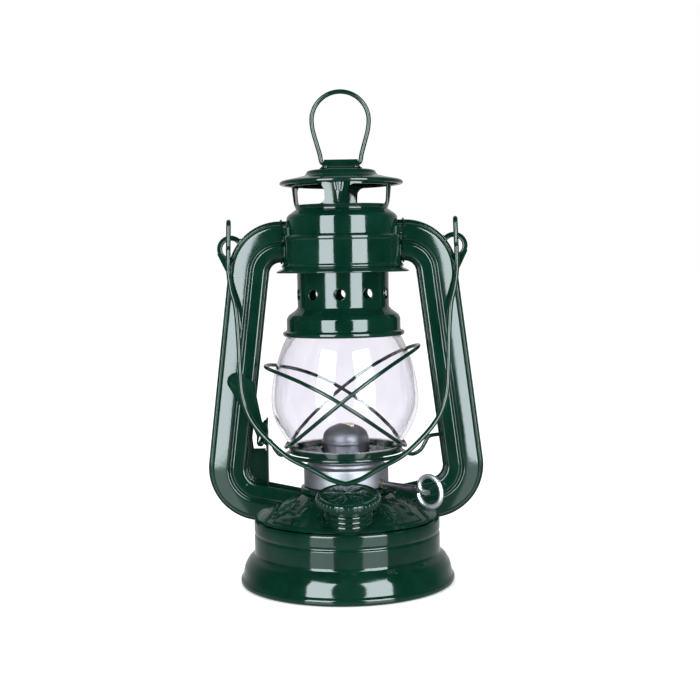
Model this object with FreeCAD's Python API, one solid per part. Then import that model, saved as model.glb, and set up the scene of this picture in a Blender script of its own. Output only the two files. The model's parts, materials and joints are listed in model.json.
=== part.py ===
"""Tubular oil lantern, 250 mm tall: fuel tank, wick burner, globe on a lift, chimney, frame tubes and bail.

Origin: centre of the tank's foot, on the surface it stands on.  +Z is up, -Y is the front, +X is the right.
"""
import FreeCAD
import Part
import math
import os

from FreeCAD import Vector

# --- driving dimensions (mm) ---------------------------------------------------------------------------------
SHEET = 0.8                 # sheet metal of the tank, the chamber and the chimney
STAMPED = 0.7               # thinner sheet of the tube halves and the burner

FOOT_R = 54.8               # rolled foot of the tank
DRUM_R = 47.4               # straight side of the tank
SKIRT_TOP = 15.6
CREASE_Z = 26.0
DRUM_TOP = 33.0
DOME_TOP_R = 22.4
DOME_TOP = 46.8

FILLER_TILT = 11.7          # degrees, leaning forwards
FILLER_FOOT = Vector(0.9, -35.2, 34.6)
NECK_R = 11.4
NECK_LENGTH = 14.0
THREAD_PITCH = 2.55
THREAD_START = 3.0
THREAD_RISE = 0.55
FILLER_CAP_R = 16.0
CAP_RIM_LOW = 12.4
CAP_RIM_HIGH = 17.2
KNURL_COUNT = 44

BURNER_R = 21.6
BURNER_TOP = 66.3
CONE_R = 12.0
CONE_SEAM = 72.0
CONE_TOP = 81.0
WICK_WIDTH = 11.0
WICK_THICK = 2.0
WICK_TOP = 81.6
WICK_FOOT = 16.0
SHAFT_R = 0.9
SHAFT_Z = 51.8
SPROCKET_R = 3.0
KNOB_CENTRE = Vector(40.2, -38.0, SHAFT_Z)
KNOB_WIRE_R = 1.15
KNOB_LONG = 7.9
KNOB_HIGH = 7.5

PLATE_R = 29.0
PLATE_Z = 67.2
CRADLE_R = 29.9
CRADLE_Z = 65.6
CRADLE_WIRE_R = 1.0
GUARD_WIRE_R = 0.95
GLOBE_WALL = 1.5
GLOBE_LIFT = 5.0

CHAMBER_RIM_Z = 158.2
CHAMBER_RIM_R = 33.7
CHAMBER_LOW_R = 30.0
CHAMBER_BEAD_Z = 175.4
CHAMBER_HIGH_R = 28.0
CHAMBER_TOP = 189.4
FLUE_R = 23.2

HOOD_LIP_Z = 125.8
HOOD_BAND_R = 28.9
HOOD_SHOULDER_Z = 135.4
HOOD_NECK_Z = 140.2
HOOD_TOP = 160.0
VENT_COUNT = 10
VENT_R = 2.9
VENT_Z = 147.0

CROWN_BASE = 189.8
CROWN_TOP = 202.2
CROWN_R = 24.8
WINDOW_LOW = 191.7
WINDOW_HIGH = 201.1
WINDOW_HALF = 12.6
WINDOW_TURN = 39.0          # degrees, middle of the first window
CAP_R = 31.2
CAP_EDGE_Z = 201.6
CAP_STEP_R = 17.6
CAP_TOP = 209.4
ROLL_Z = 212.6
ROLL_HALF = 8.4
RING_WIRE_R = 1.15
RING_TOP = 248.8
RING_HALF = 14.6
TIGHT_BEND = 1.6            # centre-line radius where a wire foot turns into its bearing

TUBE_HALF_WIDTH = 10.4      # to the outer edge of the seam flange
TUBE_LOBE_R = 4.45
TUBE_LOBE_V = 2.6
TOP_BEND = (31.5, 157.5, 16.1)      # x, z and radius of the bend at the chamber
LOW_BEND = (42.8, 58.9, 17.0)       # x, z and radius of the bend at the tank
TUBE_FOOT_SLOPE = 12.0      # degrees
TUBE_FOOT_LENGTH = 22.0

EAR_HOLE_X = 56.4
EAR_HOLE_Z = 170.4
EAR_HOLE_R = 4.3
EAR_R = 6.9
EAR_THICK = 1.2
BAIL_X = 57.5               # middle of the bail's eyes
BAIL_PIVOT_Z = 176.1
BAIL_WIRE_R = 1.2
BAIL_LEAN = 19.2            # degrees forwards of straight down
EYE_UP = 8.4
EYE_DOWN = 6.2
EYE_SIDE = 3.2

LEVER_PIVOT = Vector(-54.6, 0, 103.9)
LEVER_BACK_Y = -7.4
LEVER_THICK = 1.0
LEVER_SWING = 4.0           # degrees for the whole globe lift
HOOK_X = -43.0
HOOK_Z = 73.0

UP = Vector(0, 0, 1)
ORIGIN = Vector(0, 0, 0)


# --- helpers --------------------------------------------------------------------------------------------------
def keep(name, shape):
    """Write one sub-part."""
    shape.exportStep(os.path.join("parts", name + ".step"))
    solids = shape.Solids
    print(f"{name:22s} solids {len(solids)} volume {shape.Volume:10.1f} valid {shape.isValid()}")


def turned(points, closed=True):
    """Solid of revolution about Z from (radius, height) corners."""
    corners = [Vector(r, 0, z) for r, z in points]
    if closed:
        corners.append(corners[0])
    face = Part.Face(Part.makePolygon(corners))
    return Part.Solid(face.revolve(ORIGIN, UP, 360).Shells[0])


def offset_corners(points, thickness):
    """The same polyline moved sideways by a thickness, to the left of its direction."""
    moved = []
    last = len(points) - 1
    for i, (r, z) in enumerate(points):
        before = points[max(i - 1, 0)]
        after = points[min(i + 1, last)]
        into = unit(r - before[0], z - before[1]) if i else None
        out = unit(after[0] - r, after[1] - z) if i < last else None
        into = into or out
        out = out or into
        nx = -(into[1] + out[1])
        nz = into[0] + out[0]
        length = math.hypot(nx, nz)
        spread = max((1 + into[0] * out[0] + into[1] * out[1]) / 2, 0.2)
        scale = thickness / math.sqrt(spread) / length
        moved.append((r + nx * scale, z + nz * scale))
    return moved


def unit(a, b):
    length = math.hypot(a, b)
    return (a / length, b / length)


def turned_sheet(points, thickness=SHEET):
    """Sheet-metal turning: the profile runs upwards and the metal is on its axis side."""
    return turned(points + offset_corners(points, thickness)[::-1])


def arc_points(centre_r, centre_z, radius, start, end, count=6):
    """Corners along an arc, angles in degrees."""
    steps = [math.radians(start + (end - start) * i / count) for i in range(count + 1)]
    return [(centre_r + radius * math.cos(a), centre_z + radius * math.sin(a)) for a in steps]


def smooth_points(knots, count=24):
    """Evenly spaced (radius, height) pairs on the smooth curve through a few of them."""
    curve = Part.BSplineCurve()
    curve.interpolate([Vector(r, 0, z) for r, z in knots])
    steps = [curve.FirstParameter + (curve.LastParameter - curve.FirstParameter) * i / count
             for i in range(count + 1)]
    return [(curve.value(s).x, curve.value(s).z) for s in steps]


def cylinder(radius, length, base, axis=UP):
    return Part.makeCylinder(radius, length, base, axis)


def box(x0, x1, y0, y1, z0, z1):
    return Part.makeBox(x1 - x0, y1 - y0, z1 - z0, Vector(x0, y0, z0))


def mirrored(shape):
    """The same part on the other side of the lamp."""
    return shape.mirror(ORIGIN, Vector(1, 0, 0))


def about_z(shape, degrees):
    copy = shape.copy()
    copy.rotate(ORIGIN, UP, degrees)
    return copy


def fused(shapes):
    whole = shapes[0].multiFuse(shapes[1:])
    return whole.removeSplitter()


def bent_path(points, largest=1000.0, closed=False, tight=()):
    """Straight runs joined by tangent arcs, each as large as its two runs allow.

    The corners listed in tight bend no wider than TIGHT_BEND.
    """
    count = len(points)
    inner = range(count) if closed else range(1, count - 1)
    arcs = {}
    for i in inner:
        here = points[i]
        before = points[(i - 1) % count]
        after = points[(i + 1) % count]
        back = (before - here)
        ahead = (after - here)
        shorter = min(back.Length, ahead.Length)
        turn = math.pi - back.getAngle(ahead)
        widest = TIGHT_BEND if i in tight else largest
        reach = min(0.45 * shorter, widest * math.tan(turn / 2))
        back.normalize()
        ahead.normalize()
        middle = back + ahead
        middle.normalize()
        radius = reach / math.tan(turn / 2)
        rise = math.hypot(radius, reach) - radius
        arcs[i] = (here + back * reach, here + middle * rise, here + ahead * reach)
    edges = []
    start = arcs[0][2] if closed else points[0]
    order = list(range(1, count)) + ([0] if closed else [])
    for i in order:
        if i in arcs:
            edges.append(Part.LineSegment(start, arcs[i][0]).toShape())
            edges.append(Part.Arc(*arcs[i]).toShape())
            start = arcs[i][2]
        else:
            edges.append(Part.LineSegment(start, points[i]).toShape())
    return Part.Wire(edges)


def wire_along(path, radius):
    """Round wire swept along a path."""
    first = path.Edges[0]
    start = first.valueAt(first.FirstParameter)
    direction = first.tangentAt(first.FirstParameter)
    ring = Part.Wire(Part.makeCircle(radius, start, direction))
    return path.makePipeShell([ring], True, True)


# --- tank -----------------------------------------------------------------------------------------------------
def dome_profile():
    """Outside of the tank's domed top, from the drum inwards."""
    knots = [(46.0, 35.2), (42.4, 37.2), (36.5, 40.4), (30.5, 43.3), (26.0, 45.2), (DOME_TOP_R, DOME_TOP)]
    return [(DRUM_R - 0.2, DRUM_TOP + 0.5)] + smooth_points(knots, 14)


def outside_of_tank(extra):
    """Solid that fills the tank and its dome, a little oversize, to trim what stands on it."""
    profile = [(r + extra * 0.7, z + extra * 0.7) for r, z in dome_profile()]
    return turned([(0, 5), (profile[0][0] + extra, 5)] + profile + [(0, profile[-1][1])])


def tank():
    foot = [(53.2, 0.0), (54.1, 0.35), (FOOT_R, 1.5), (FOOT_R, 2.7), (54.1, 3.9), (53.6, 4.3)]
    skirt = [(53.4, 5.4), (53.0, 7.6), (52.2, 9.9), (51.0, 12.0), (49.4, 13.8), (47.9, 15.0), (DRUM_R, SKIRT_TOP)]
    crease = [(DRUM_R, CREASE_Z - 0.9), (DRUM_R - 0.7, CREASE_Z), (DRUM_R, CREASE_Z + 0.9)]
    side = foot + skirt + crease + [(DRUM_R, DRUM_TOP)]
    shell = turned_sheet(side)
    roll = turned([(51.2, 0.0), (53.3, 0.0), (52.8, 1.0), (51.2, 0.9)])
    keep("tank_shell", shell.fuse(roll).removeSplitter())

    pan = [(50.9, 0.9), (50.9, 3.0), (44.0, 3.0), (42.5, 4.2), (0, 4.2)]
    low = [(0, 3.4), (42.2, 3.4), (43.7, 2.2), (50.1, 2.2), (50.1, 0.9)]
    keep("tank_bottom", turned(pan + low))


def on_filler(shape):
    """Move a part modelled on the Z axis onto the leaning filler neck."""
    copy = shape.copy()
    copy.rotate(ORIGIN, Vector(1, 0, 0), FILLER_TILT)
    copy.translate(FILLER_FOOT)
    return copy


def dome():
    profile = dome_profile()
    shell = turned(profile + offset_corners(profile, SHEET)[::-1])
    hole = on_filler(cylinder(NECK_R + THREAD_RISE + 0.05, 40, Vector(0, 0, -20)))
    keep("tank_dome", shell.cut(hole))


def filler_neck():
    foot = 0.2
    ridges = [(NECK_R, foot)]
    for i in range(3):
        z = THREAD_START + THREAD_PITCH * i
        crest = NECK_R + THREAD_RISE
        ridges += [(NECK_R, z), (crest, z + 0.45), (crest, z + 1.05), (NECK_R, z + 1.5)]
    ridges += [(NECK_R, NECK_LENGTH)]
    inner = NECK_R - 1.2
    keep("filler_neck", on_filler(turned(ridges + [(inner, NECK_LENGTH), (inner, foot)])))


def filler_cap():
    rim = [(FILLER_CAP_R - 0.6, CAP_RIM_LOW), (FILLER_CAP_R, CAP_RIM_LOW + 0.7), (FILLER_CAP_R, CAP_RIM_HIGH - 0.9)]
    top = [(FILLER_CAP_R - 0.8, CAP_RIM_HIGH), (FILLER_CAP_R - 2.2, CAP_RIM_HIGH - 0.35), (0, CAP_RIM_HIGH + 0.5)]
    under = [(0, CAP_RIM_HIGH - 1.4), (NECK_R + 1.0, CAP_RIM_HIGH - 1.4), (NECK_R + 1.0, CAP_RIM_LOW)]
    cap = turned(rim + top + under)
    cuts = []
    for i in range(KNURL_COUNT):
        angle = 2 * math.pi * i / KNURL_COUNT
        where = Vector((FILLER_CAP_R + 0.25) * math.cos(angle), (FILLER_CAP_R + 0.25) * math.sin(angle), 0)
        cuts.append(cylinder(0.75, 30, where))
    keep("filler_cap", on_filler(cap.cut(Part.makeCompound(cuts))))
    washer = turned([(8.4, NECK_LENGTH + 0.1), (NECK_R + 0.6, NECK_LENGTH + 0.1),
                     (NECK_R + 0.6, NECK_LENGTH + 1.5), (8.4, NECK_LENGTH + 1.5)])
    keep("filler_seal", on_filler(washer))


# --- frame tubes ------------------------------------------------------------------------------------------------
def tube_lean():
    """Angle from straight down of the tube's long run, tangent to both bends."""
    dx = LOW_BEND[0] - TOP_BEND[0]
    dz = TOP_BEND[1] - LOW_BEND[1]
    return math.atan2(dx, dz) + math.asin((LOW_BEND[2] - TOP_BEND[2]) / math.hypot(dx, dz))


def on_bend(bend, angle, radius=None):
    x, z, bend_radius = bend
    reach = bend_radius if radius is None else radius
    return Vector(x + reach * math.cos(angle), 0, z + reach * math.sin(angle))


def tube_path():
    """Centre line of the right-hand tube, from inside the chamber to inside the dome."""
    lean = tube_lean()
    foot = -math.pi / 2 + math.radians(TUBE_FOOT_SLOPE)
    start = Vector(24, 0, TOP_BEND[1] + TOP_BEND[2])
    top_in = on_bend(TOP_BEND, math.pi / 2)
    top_mid = on_bend(TOP_BEND, (math.pi / 2 + lean) / 2)
    top_out = on_bend(TOP_BEND, lean)
    low_in = on_bend(LOW_BEND, lean)
    low_mid = on_bend(LOW_BEND, (lean + foot) / 2)
    low_out = on_bend(LOW_BEND, foot)
    inwards = Vector(math.sin(foot), 0, -math.cos(foot))
    end = low_out + inwards * TUBE_FOOT_LENGTH
    return Part.Wire([
        Part.LineSegment(start, top_in).toShape(),
        Part.Arc(top_in, top_mid, top_out).toShape(),
        Part.LineSegment(top_out, low_in).toShape(),
        Part.Arc(low_in, low_mid, low_out).toShape(),
        Part.LineSegment(low_out, end).toShape(),
    ])


def half_section(side, inset):
    """Edges of one stamped half, from one side to the other: two lobes with a groove between them.

    side is -1 for the front half and +1 for the back half; inset moves the line into the metal.
    """
    radius = TUBE_LOBE_R - inset
    groove_v = TUBE_LOBE_V + math.sqrt(TUBE_LOBE_R ** 2 - (TUBE_LOBE_R - 1.0) ** 2) - inset
    edge_u = 2 * TUBE_LOBE_R - inset
    high = TUBE_LOBE_V + radius * math.sin(math.radians(110))
    lean_u = TUBE_LOBE_R - radius * math.cos(math.radians(110))

    def at(u, v):
        return Vector(24, side * v, TOP_BEND[1] + TOP_BEND[2] + u)

    left = Part.Arc(at(-edge_u, TUBE_LOBE_V), at(-lean_u, high), at(-1.0, groove_v)).toShape()
    groove = Part.Arc(at(-1.0, groove_v), at(0, groove_v - 0.5), at(1.0, groove_v)).toShape()
    right = Part.Arc(at(1.0, groove_v), at(lean_u, high), at(edge_u, TUBE_LOBE_V)).toShape()
    return at, edge_u, [left, groove, right]


def tube_half(side):
    at, outer_u, outer = half_section(side, 0)
    _, inner_u, inner = half_section(side, STAMPED)
    wide = TUBE_HALF_WIDTH
    start = [at(-inner_u, TUBE_LOBE_V), at(-inner_u, 0), at(-wide, 0), at(-wide, STAMPED),
             at(-outer_u, STAMPED), at(-outer_u, TUBE_LOBE_V)]
    end = [at(outer_u, TUBE_LOBE_V), at(outer_u, STAMPED), at(wide, STAMPED), at(wide, 0),
           at(inner_u, 0), at(inner_u, TUBE_LOBE_V)]
    edges = [Part.LineSegment(a, b).toShape() for a, b in zip(start, start[1:])]
    edges += outer
    edges += [Part.LineSegment(a, b).toShape() for a, b in zip(end, end[1:])]
    edges += inner
    section = Part.Wire(Part.__sortEdges__(edges))
    return tube_path().makePipeShell([section], True, False)


def tube_filled():
    """Solid envelope of a whole tube, flanges included, a hair oversize."""
    _, _, front = half_section(-1, -0.05)
    at, edge_u, back = half_section(1, -0.05)
    sides = [Part.LineSegment(at(-edge_u, TUBE_LOBE_V), at(-edge_u, -TUBE_LOBE_V)).toShape(),
             Part.LineSegment(at(edge_u, TUBE_LOBE_V), at(edge_u, -TUBE_LOBE_V)).toShape()]
    body = tube_path().makePipeShell([Part.Wire(Part.__sortEdges__(front + back + sides))], True, False)
    wide = TUBE_HALF_WIDTH + 0.05
    thin = STAMPED + 0.05
    corners = [at(-wide, -thin), at(wide, -thin), at(wide, thin), at(-wide, thin), at(-wide, -thin)]
    fin = tube_path().makePipeShell([Part.makePolygon(corners)], True, False)
    return body.fuse(fin)


def trimming_solid():
    """Everything that a tube's ends are cut back to: tank, burner collar and chamber."""
    burner = cylinder(23.6, 30, Vector(0, 0, 40))
    chamber = turned([(0, 150), (CHAMBER_LOW_R - 0.1, 150), (CHAMBER_LOW_R - 0.1, 200), (0, 200)])
    return outside_of_tank(0.05).multiFuse([burner, chamber])


def wire_slot():
    """Slot in the right tube's inner seam, where the cradle wire slides."""
    return box(44.0, 52.0, -1.4, 1.4, HOOK_Z - 2.0, HOOK_Z + GLOBE_LIFT + 4.2)


def tubes():
    trim = trimming_solid()
    for side, face in ((-1, "front"), (1, "back")):
        half = tube_half(side).cut(trim)
        keep("left_tube_" + face, mirrored(half))
        keep("right_tube_" + face, half.cut(wire_slot()))


def tube_flanges(filled):
    """Plates around the tubes where they enter the chamber."""
    middle = TOP_BEND[1] + TOP_BEND[2]
    plate = box(30.3, 31.1, -8.2, 8.2, middle - 11.2, middle + 11.2)
    upright = [edge for edge in plate.Edges if abs(edge.tangentAt(edge.FirstParameter).x) > 0.9]
    plate = plate.makeFillet(6.0, upright).cut(filled)
    keep("tube_flanges", Part.makeCompound([plate, mirrored(plate)]))


def ears(filled):
    """Eye plates on the outer seams, one for each end of the bail."""
    disc = cylinder(EAR_R, EAR_THICK, Vector(EAR_HOLE_X, EAR_THICK / 2, EAR_HOLE_Z), Vector(0, -1, 0))
    web = [Vector(EAR_HOLE_X - 5.0, 0, EAR_HOLE_Z + 5.3), Vector(EAR_HOLE_X + 6.9, 0, EAR_HOLE_Z - 2.5),
           Vector(EAR_HOLE_X + 2.6, 0, EAR_HOLE_Z - 11.5), Vector(EAR_HOLE_X - 4.4, 0, EAR_HOLE_Z - 11.0),
           Vector(EAR_HOLE_X - 13.0, 0, EAR_HOLE_Z + 4.0)]
    plate = Part.Face(Part.makePolygon(web + [web[0]])).extrude(Vector(0, EAR_THICK, 0))
    plate.translate(Vector(0, -EAR_THICK / 2, 0))
    hole = cylinder(EAR_HOLE_R, 4, Vector(EAR_HOLE_X, 2, EAR_HOLE_Z), Vector(0, -1, 0))
    ear = disc.fuse(plate).cut(hole).cut(filled)
    ear = max(ear.Solids, key=lambda solid: solid.Volume)
    keep("bail_ears", Part.makeCompound([ear, mirrored(ear)]))


# --- chamber ----------------------------------------------------------------------------------------------------
def chamber():
    rim = [(CHAMBER_RIM_R, CHAMBER_RIM_Z), (33.1, 159.0), (31.6, 160.0)]
    low_bead = arc_points(CHAMBER_LOW_R, 161.7, 0.9, -80, 80, 4)
    high_bead = arc_points(CHAMBER_LOW_R - 0.6, CHAMBER_BEAD_Z, 0.9, -80, 100, 5)
    top = [(CHAMBER_HIGH_R, 176.6), (CHAMBER_HIGH_R, 185.8), (27.3, 186.8), (FLUE_R + 0.9, CHAMBER_TOP)]
    wall = rim + low_bead + [(CHAMBER_LOW_R, 162.9), (CHAMBER_LOW_R, 174.2)] + high_bead + top
    shell = turned_sheet(wall)
    middle = TOP_BEND[1] + TOP_BEND[2]
    ports = box(-40, 40, -5.6, 5.6, middle - 8.0, middle + 8.0)
    keep("air_chamber", shell.cut(ports))
    keep("chamber_floor", turned([(FLUE_R + 0.4, 160.9), (28.5, 160.9), (28.5, 161.7), (FLUE_R + 0.4, 161.7)]))


# --- burner -----------------------------------------------------------------------------------------------------
def shaft_angle():
    """Direction of the wick shaft in plan: it passes the wick's face and ends at the knob."""
    offset = WICK_THICK / 2 + 0.15 + SPROCKET_R
    reach = math.hypot(KNOB_CENTRE.x, KNOB_CENTRE.y)
    return math.degrees(math.atan2(KNOB_CENTRE.y, KNOB_CENTRE.x) - math.asin(offset / reach))


def on_shaft(shape):
    """Move a part modelled along +X, with the wick's middle plane at y = 0, to the shaft's direction."""
    return about_z(shape, shaft_angle())


def shaft_offset():
    return WICK_THICK / 2 + 0.15 + SPROCKET_R


def burner():
    collar = turned([(19.6, 45.6), (DOME_TOP_R - 0.5, 45.6), (DOME_TOP_R - 0.5, 46.9), (23.2, 46.9),
                     (23.2, 48.9), (22.2, 49.3), (19.6, 49.3)])
    keep("burner_collar", collar)

    shoulder = arc_points(BURNER_R - 2.2, 57.4, 2.2, 0, 90, 6)
    profile = [(20.6, 49.4), (BURNER_R, 49.8)] + shoulder
    profile += [(18.4, 59.9), (18.3, 61.0), (19.0, 62.3), (19.2, 64.2), (20.8, 65.5), (22.2, BURNER_TOP)]
    shell = turned_sheet(profile, STAMPED)
    reach = cylinder(SHAFT_R + 0.08, 30, Vector(10, shaft_offset(), SHAFT_Z), Vector(1, 0, 0))
    keep("burner_body", shell.cut(on_shaft(reach)))

    floor = turned([(0, 50.0), (20.4, 50.0), (20.4, 50.8), (0, 50.8)])
    opening = box(-WICK_WIDTH / 2 - 1.05, WICK_WIDTH / 2 + 1.05, -2.1, 2.1, 40, 60)
    pit = box(-8.5, 9.5, shaft_offset() - 3.6, shaft_offset() + 3.6, 40, 60)
    keep("burner_floor", floor.cut(on_shaft(opening.fuse(pit))))

    dome_curve = [(CONE_R - 0.3, CONE_SEAM + 0.7), (11.2, 74.6), (9.9, 77.0), (7.6, 79.3), (4.4, 80.6), (0, CONE_TOP)]
    skirt = [(CONE_R + 1.0, 61.6), (CONE_R, 62.8), (CONE_R, CONE_SEAM - 0.7), (CONE_R + 0.45, CONE_SEAM)]
    outline = skirt + smooth_points(dome_curve, 12)
    inside = offset_corners(outline, STAMPED)[::-1]
    inside[0] = (0, CONE_TOP - STAMPED)
    cone = turned(outline + inside)
    slot = box(-WICK_WIDTH / 2 - 1.0, WICK_WIDTH / 2 + 1.0, -1.8, 1.8, 74.0, 90)
    keep("burner_cone", cone.cut(on_shaft(slot)))

    seat = turned([(11.0, 60.2), (17.5, 60.2), (17.5, 60.9), (11.0, 60.9)])
    keep("cone_seat", seat)

    outer = box(-WICK_WIDTH / 2 - 0.95, WICK_WIDTH / 2 + 0.95, -1.75, 1.75, 50.0, 75.0)
    inner = box(-WICK_WIDTH / 2 - 0.35, WICK_WIDTH / 2 + 0.35, -1.2, 1.2, 40.0, 90.0)
    window = box(-WICK_WIDTH / 2, WICK_WIDTH / 2, 0.4, 3.0, SHAFT_Z - 3.4, SHAFT_Z + 3.4)
    keep("wick_tube", on_shaft(outer.cut(inner).cut(window)))
    bush = cylinder(2.3, 1.6, Vector(BURNER_R - 0.45, shaft_offset(), SHAFT_Z), Vector(1, 0, 0))
    bush = bush.cut(cylinder(SHAFT_R + 0.08, 10, Vector(15, shaft_offset(), SHAFT_Z), Vector(1, 0, 0)))
    bush = bush.cut(cylinder(BURNER_R + 0.02, 30, Vector(0, 0, 40)))
    keep("shaft_bush", on_shaft(bush))


def wick():
    """Flat woven wick, its lower end coiled loosely towards the fuel."""
    top = box(-WICK_WIDTH / 2, WICK_WIDTH / 2, -WICK_THICK / 2, WICK_THICK / 2, WICK_FOOT, WICK_TOP)
    edge = Part.makeBox(20, 6, 6, Vector(-10 - WICK_WIDTH / 2, -3, WICK_TOP - 2.2))
    edge.rotate(Vector(-WICK_WIDTH / 2, 0, WICK_TOP - 2.2), Vector(0, 1, 0), -11)
    keep("wick", on_shaft(top.cut(edge)))


def wick_shaft():
    """Shaft with two toothed wheels that climb the wick."""
    start = -WICK_WIDTH / 2 - 2.0
    knob_x = KNOB_CENTRE.x / math.cos(math.radians(shaft_angle()))
    stem_end = knob_x - KNOB_LONG - 3.2
    offset = shaft_offset()
    shapes = [cylinder(SHAFT_R, stem_end - start, Vector(start, offset, SHAFT_Z), Vector(1, 0, 0))]
    for x in (-3.2, 1.8):
        shapes.append(cylinder(SPROCKET_R - 0.5, 1.4, Vector(x, offset, SHAFT_Z), Vector(1, 0, 0)))
        for i in range(10):
            tooth = box(x + 0.3, x + 1.1, offset - 0.3, offset + 0.3, SHAFT_Z, SHAFT_Z + SPROCKET_R)
            tooth.rotate(Vector(x, offset, SHAFT_Z), Vector(1, 0, 0), 36 * i + 18)
            shapes.append(tooth)
    keep("wick_shaft", on_shaft(fused(shapes)))
    stem = Part.makeCone(1.5, 2.0, stem_end - 24.2, Vector(24.2, offset, SHAFT_Z), Vector(1, 0, 0))
    stem = stem.cut(cylinder(SHAFT_R, 60, Vector(0, offset, SHAFT_Z), Vector(1, 0, 0)))
    keep("knob_stem", on_shaft(stem))

    loop = knob_loop(stem_end, Vector(knob_x, offset, SHAFT_Z))
    keep("wick_knob", on_shaft(loop))


def knob_loop(stem_end, centre):
    """Bright wire bent into an open ring whose end curls inwards."""
    points = [Vector(stem_end + 0.5, centre.y, SHAFT_Z)]
    sweep = [(-170, 1.0), (-132, 1.0), (-94, 1.0), (-56, 1.0), (-18, 1.0), (20, 1.0), (58, 1.0),
             (96, 1.0), (134, 0.98), (166, 0.80), (196, 0.46)]
    for degrees, reach in sweep:
        a = math.radians(degrees)
        along = Vector(KNOB_LONG * math.cos(a), 0, KNOB_HIGH * math.sin(a))
        points.append(centre + along * reach)
    return wire_along(bent_path(points), KNOB_WIRE_R)


# --- globe carriage ---------------------------------------------------------------------------------------------
def globe_plate():
    rim = [(PLATE_R - 0.8, PLATE_Z), (PLATE_R - 0.8, PLATE_Z - 0.4), (PLATE_R, PLATE_Z - 0.4), (PLATE_R, PLATE_Z + 2.0)]
    over = [(PLATE_R - 0.8, PLATE_Z + 2.0), (PLATE_R - 0.8, PLATE_Z + 0.9), (CONE_R + 0.9, PLATE_Z + 0.9)]
    plate = turned(rim + over + [(CONE_R + 0.9, PLATE_Z)])
    cuts = []
    for radius, count in ((16.6, 18), (20.4, 24), (24.2, 30)):
        for i in range(count):
            angle = 2 * math.pi * (i + 0.5) / count
            where = Vector(radius * math.cos(angle), radius * math.sin(angle), PLATE_Z - 2)
            cuts.append(cylinder(1.05, 6, where))
    plate = plate.cut(Part.makeCompound(cuts))
    slot = about_z(box(14.6, 26.4, -0.9, 0.9, PLATE_Z - 2, PLATE_Z + 4), 188)
    keep("globe_plate", plate.cut(slot))


def cradle():
    """Wire ring under the plate with an arm to each tube."""
    ring = Part.makeTorus(CRADLE_R, CRADLE_WIRE_R, Vector(0, 0, CRADLE_Z))
    right = [Vector(CRADLE_R, 0, CRADLE_Z), Vector(34.6, 0, 64.4), Vector(39.4, 0, 67.8),
             Vector(42.0, 0, 73.6), Vector(48.8, 0, HOOK_Z + 1.6)]
    left = [Vector(-CRADLE_R, 0, CRADLE_Z), Vector(-34.0, 0, 64.8), Vector(-37.0, 0, 69.6),
            Vector(-38.9, 0, HOOK_Z), Vector(HOOK_X, 0, HOOK_Z), Vector(HOOK_X, -10.4, HOOK_Z)]
    arms = [wire_along(bent_path(points, 3.0), CRADLE_WIRE_R) for points in (right, left)]
    keep("cradle_wire", fused([ring] + arms))


def globe_knots():
    """Outside of the glass, from the plate to the hood."""
    return [(27.2, 68.9), (29.6, 72.4), (32.7, 77.4), (35.2, 82.2), (36.9, 87.6), (37.5, 93.2), (37.1, 99.4),
            (35.9, 106.2), (34.0, 113.4), (31.8, 119.6), (29.6, 124.4), (28.1, 127.4), (27.2, 130.6), (26.9, 134.6)]


def globe_radius(z):
    knots = globe_knots()
    for (r0, z0), (r1, z1) in zip(knots, knots[1:]):
        if z0 <= z <= z1:
            return r0 + (r1 - r0) * (z - z0) / (z1 - z0)
    return knots[0][0] if z < knots[0][1] else knots[-1][0]


def globe():
    outside = smooth_points(globe_knots(), 36)
    inside = offset_corners(outside, GLOBE_WALL)[::-1]
    keep("globe", turned(outside + inside))


def guard_loop(low, cross, high):
    """Wire loop around the glass: low on one side, high on the other, crossing its twin front and back.

    low and high are (x, z); cross is the height above x = 0.
    """
    half = []
    count = 9
    for i in range(1, count):
        angle = math.pi * i / count
        share = (1 - math.cos(angle)) / 2
        x = low[0] + (high[0] - low[0]) * share
        z = (low[1] * (1 - share) ** 2 + high[1] * share ** 2
             + (4 * cross - low[1] - high[1]) * share * (1 - share))
        snug = globe_radius(z) + 2.1
        reach = max(snug, abs(low[0]) + (abs(high[0]) - abs(low[0])) * share)
        half.append((x, math.sqrt(max(reach ** 2 - x ** 2, 0)), z))
    points = [Vector(low[0], 0, low[1])] + [Vector(x, -y, z) for x, y, z in half]
    points += [Vector(high[0], 0, high[1])] + [Vector(x, y, z) for x, y, z in half[::-1]]
    return wire_along(bent_path(points, closed=True), GUARD_WIRE_R)


def guards():
    keep("guard_wire_right", guard_loop((-30.6, 69.4), 99.5, (38.0, 120.2)))
    keep("guard_wire_left", guard_loop((30.6, 69.4), 96.9, (-40.2, 110.9)))


# --- lift lever -------------------------------------------------------------------------------------------------
def lever_track():
    """Centre of the hook, seen from the lever, as the globe goes up and the lever swings."""
    track = []
    steps = 6
    for i in range(steps + 1):
        turn = math.radians(LEVER_SWING * i / steps)
        x = HOOK_X - LEVER_PIVOT.x
        z = HOOK_Z + GLOBE_LIFT * i / steps - LEVER_PIVOT.z
        back_x = x * math.cos(turn) - z * math.sin(turn)
        back_z = x * math.sin(turn) + z * math.cos(turn)
        track.append(Vector(LEVER_PIVOT.x + back_x, 0, LEVER_PIVOT.z + back_z))
    return track


def lever_plate(corners):
    front = [Vector(x, LEVER_BACK_Y - LEVER_THICK, z) for x, z in corners]
    return Part.Face(Part.makePolygon(front + [front[0]])).extrude(Vector(0, LEVER_THICK, 0))


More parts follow.
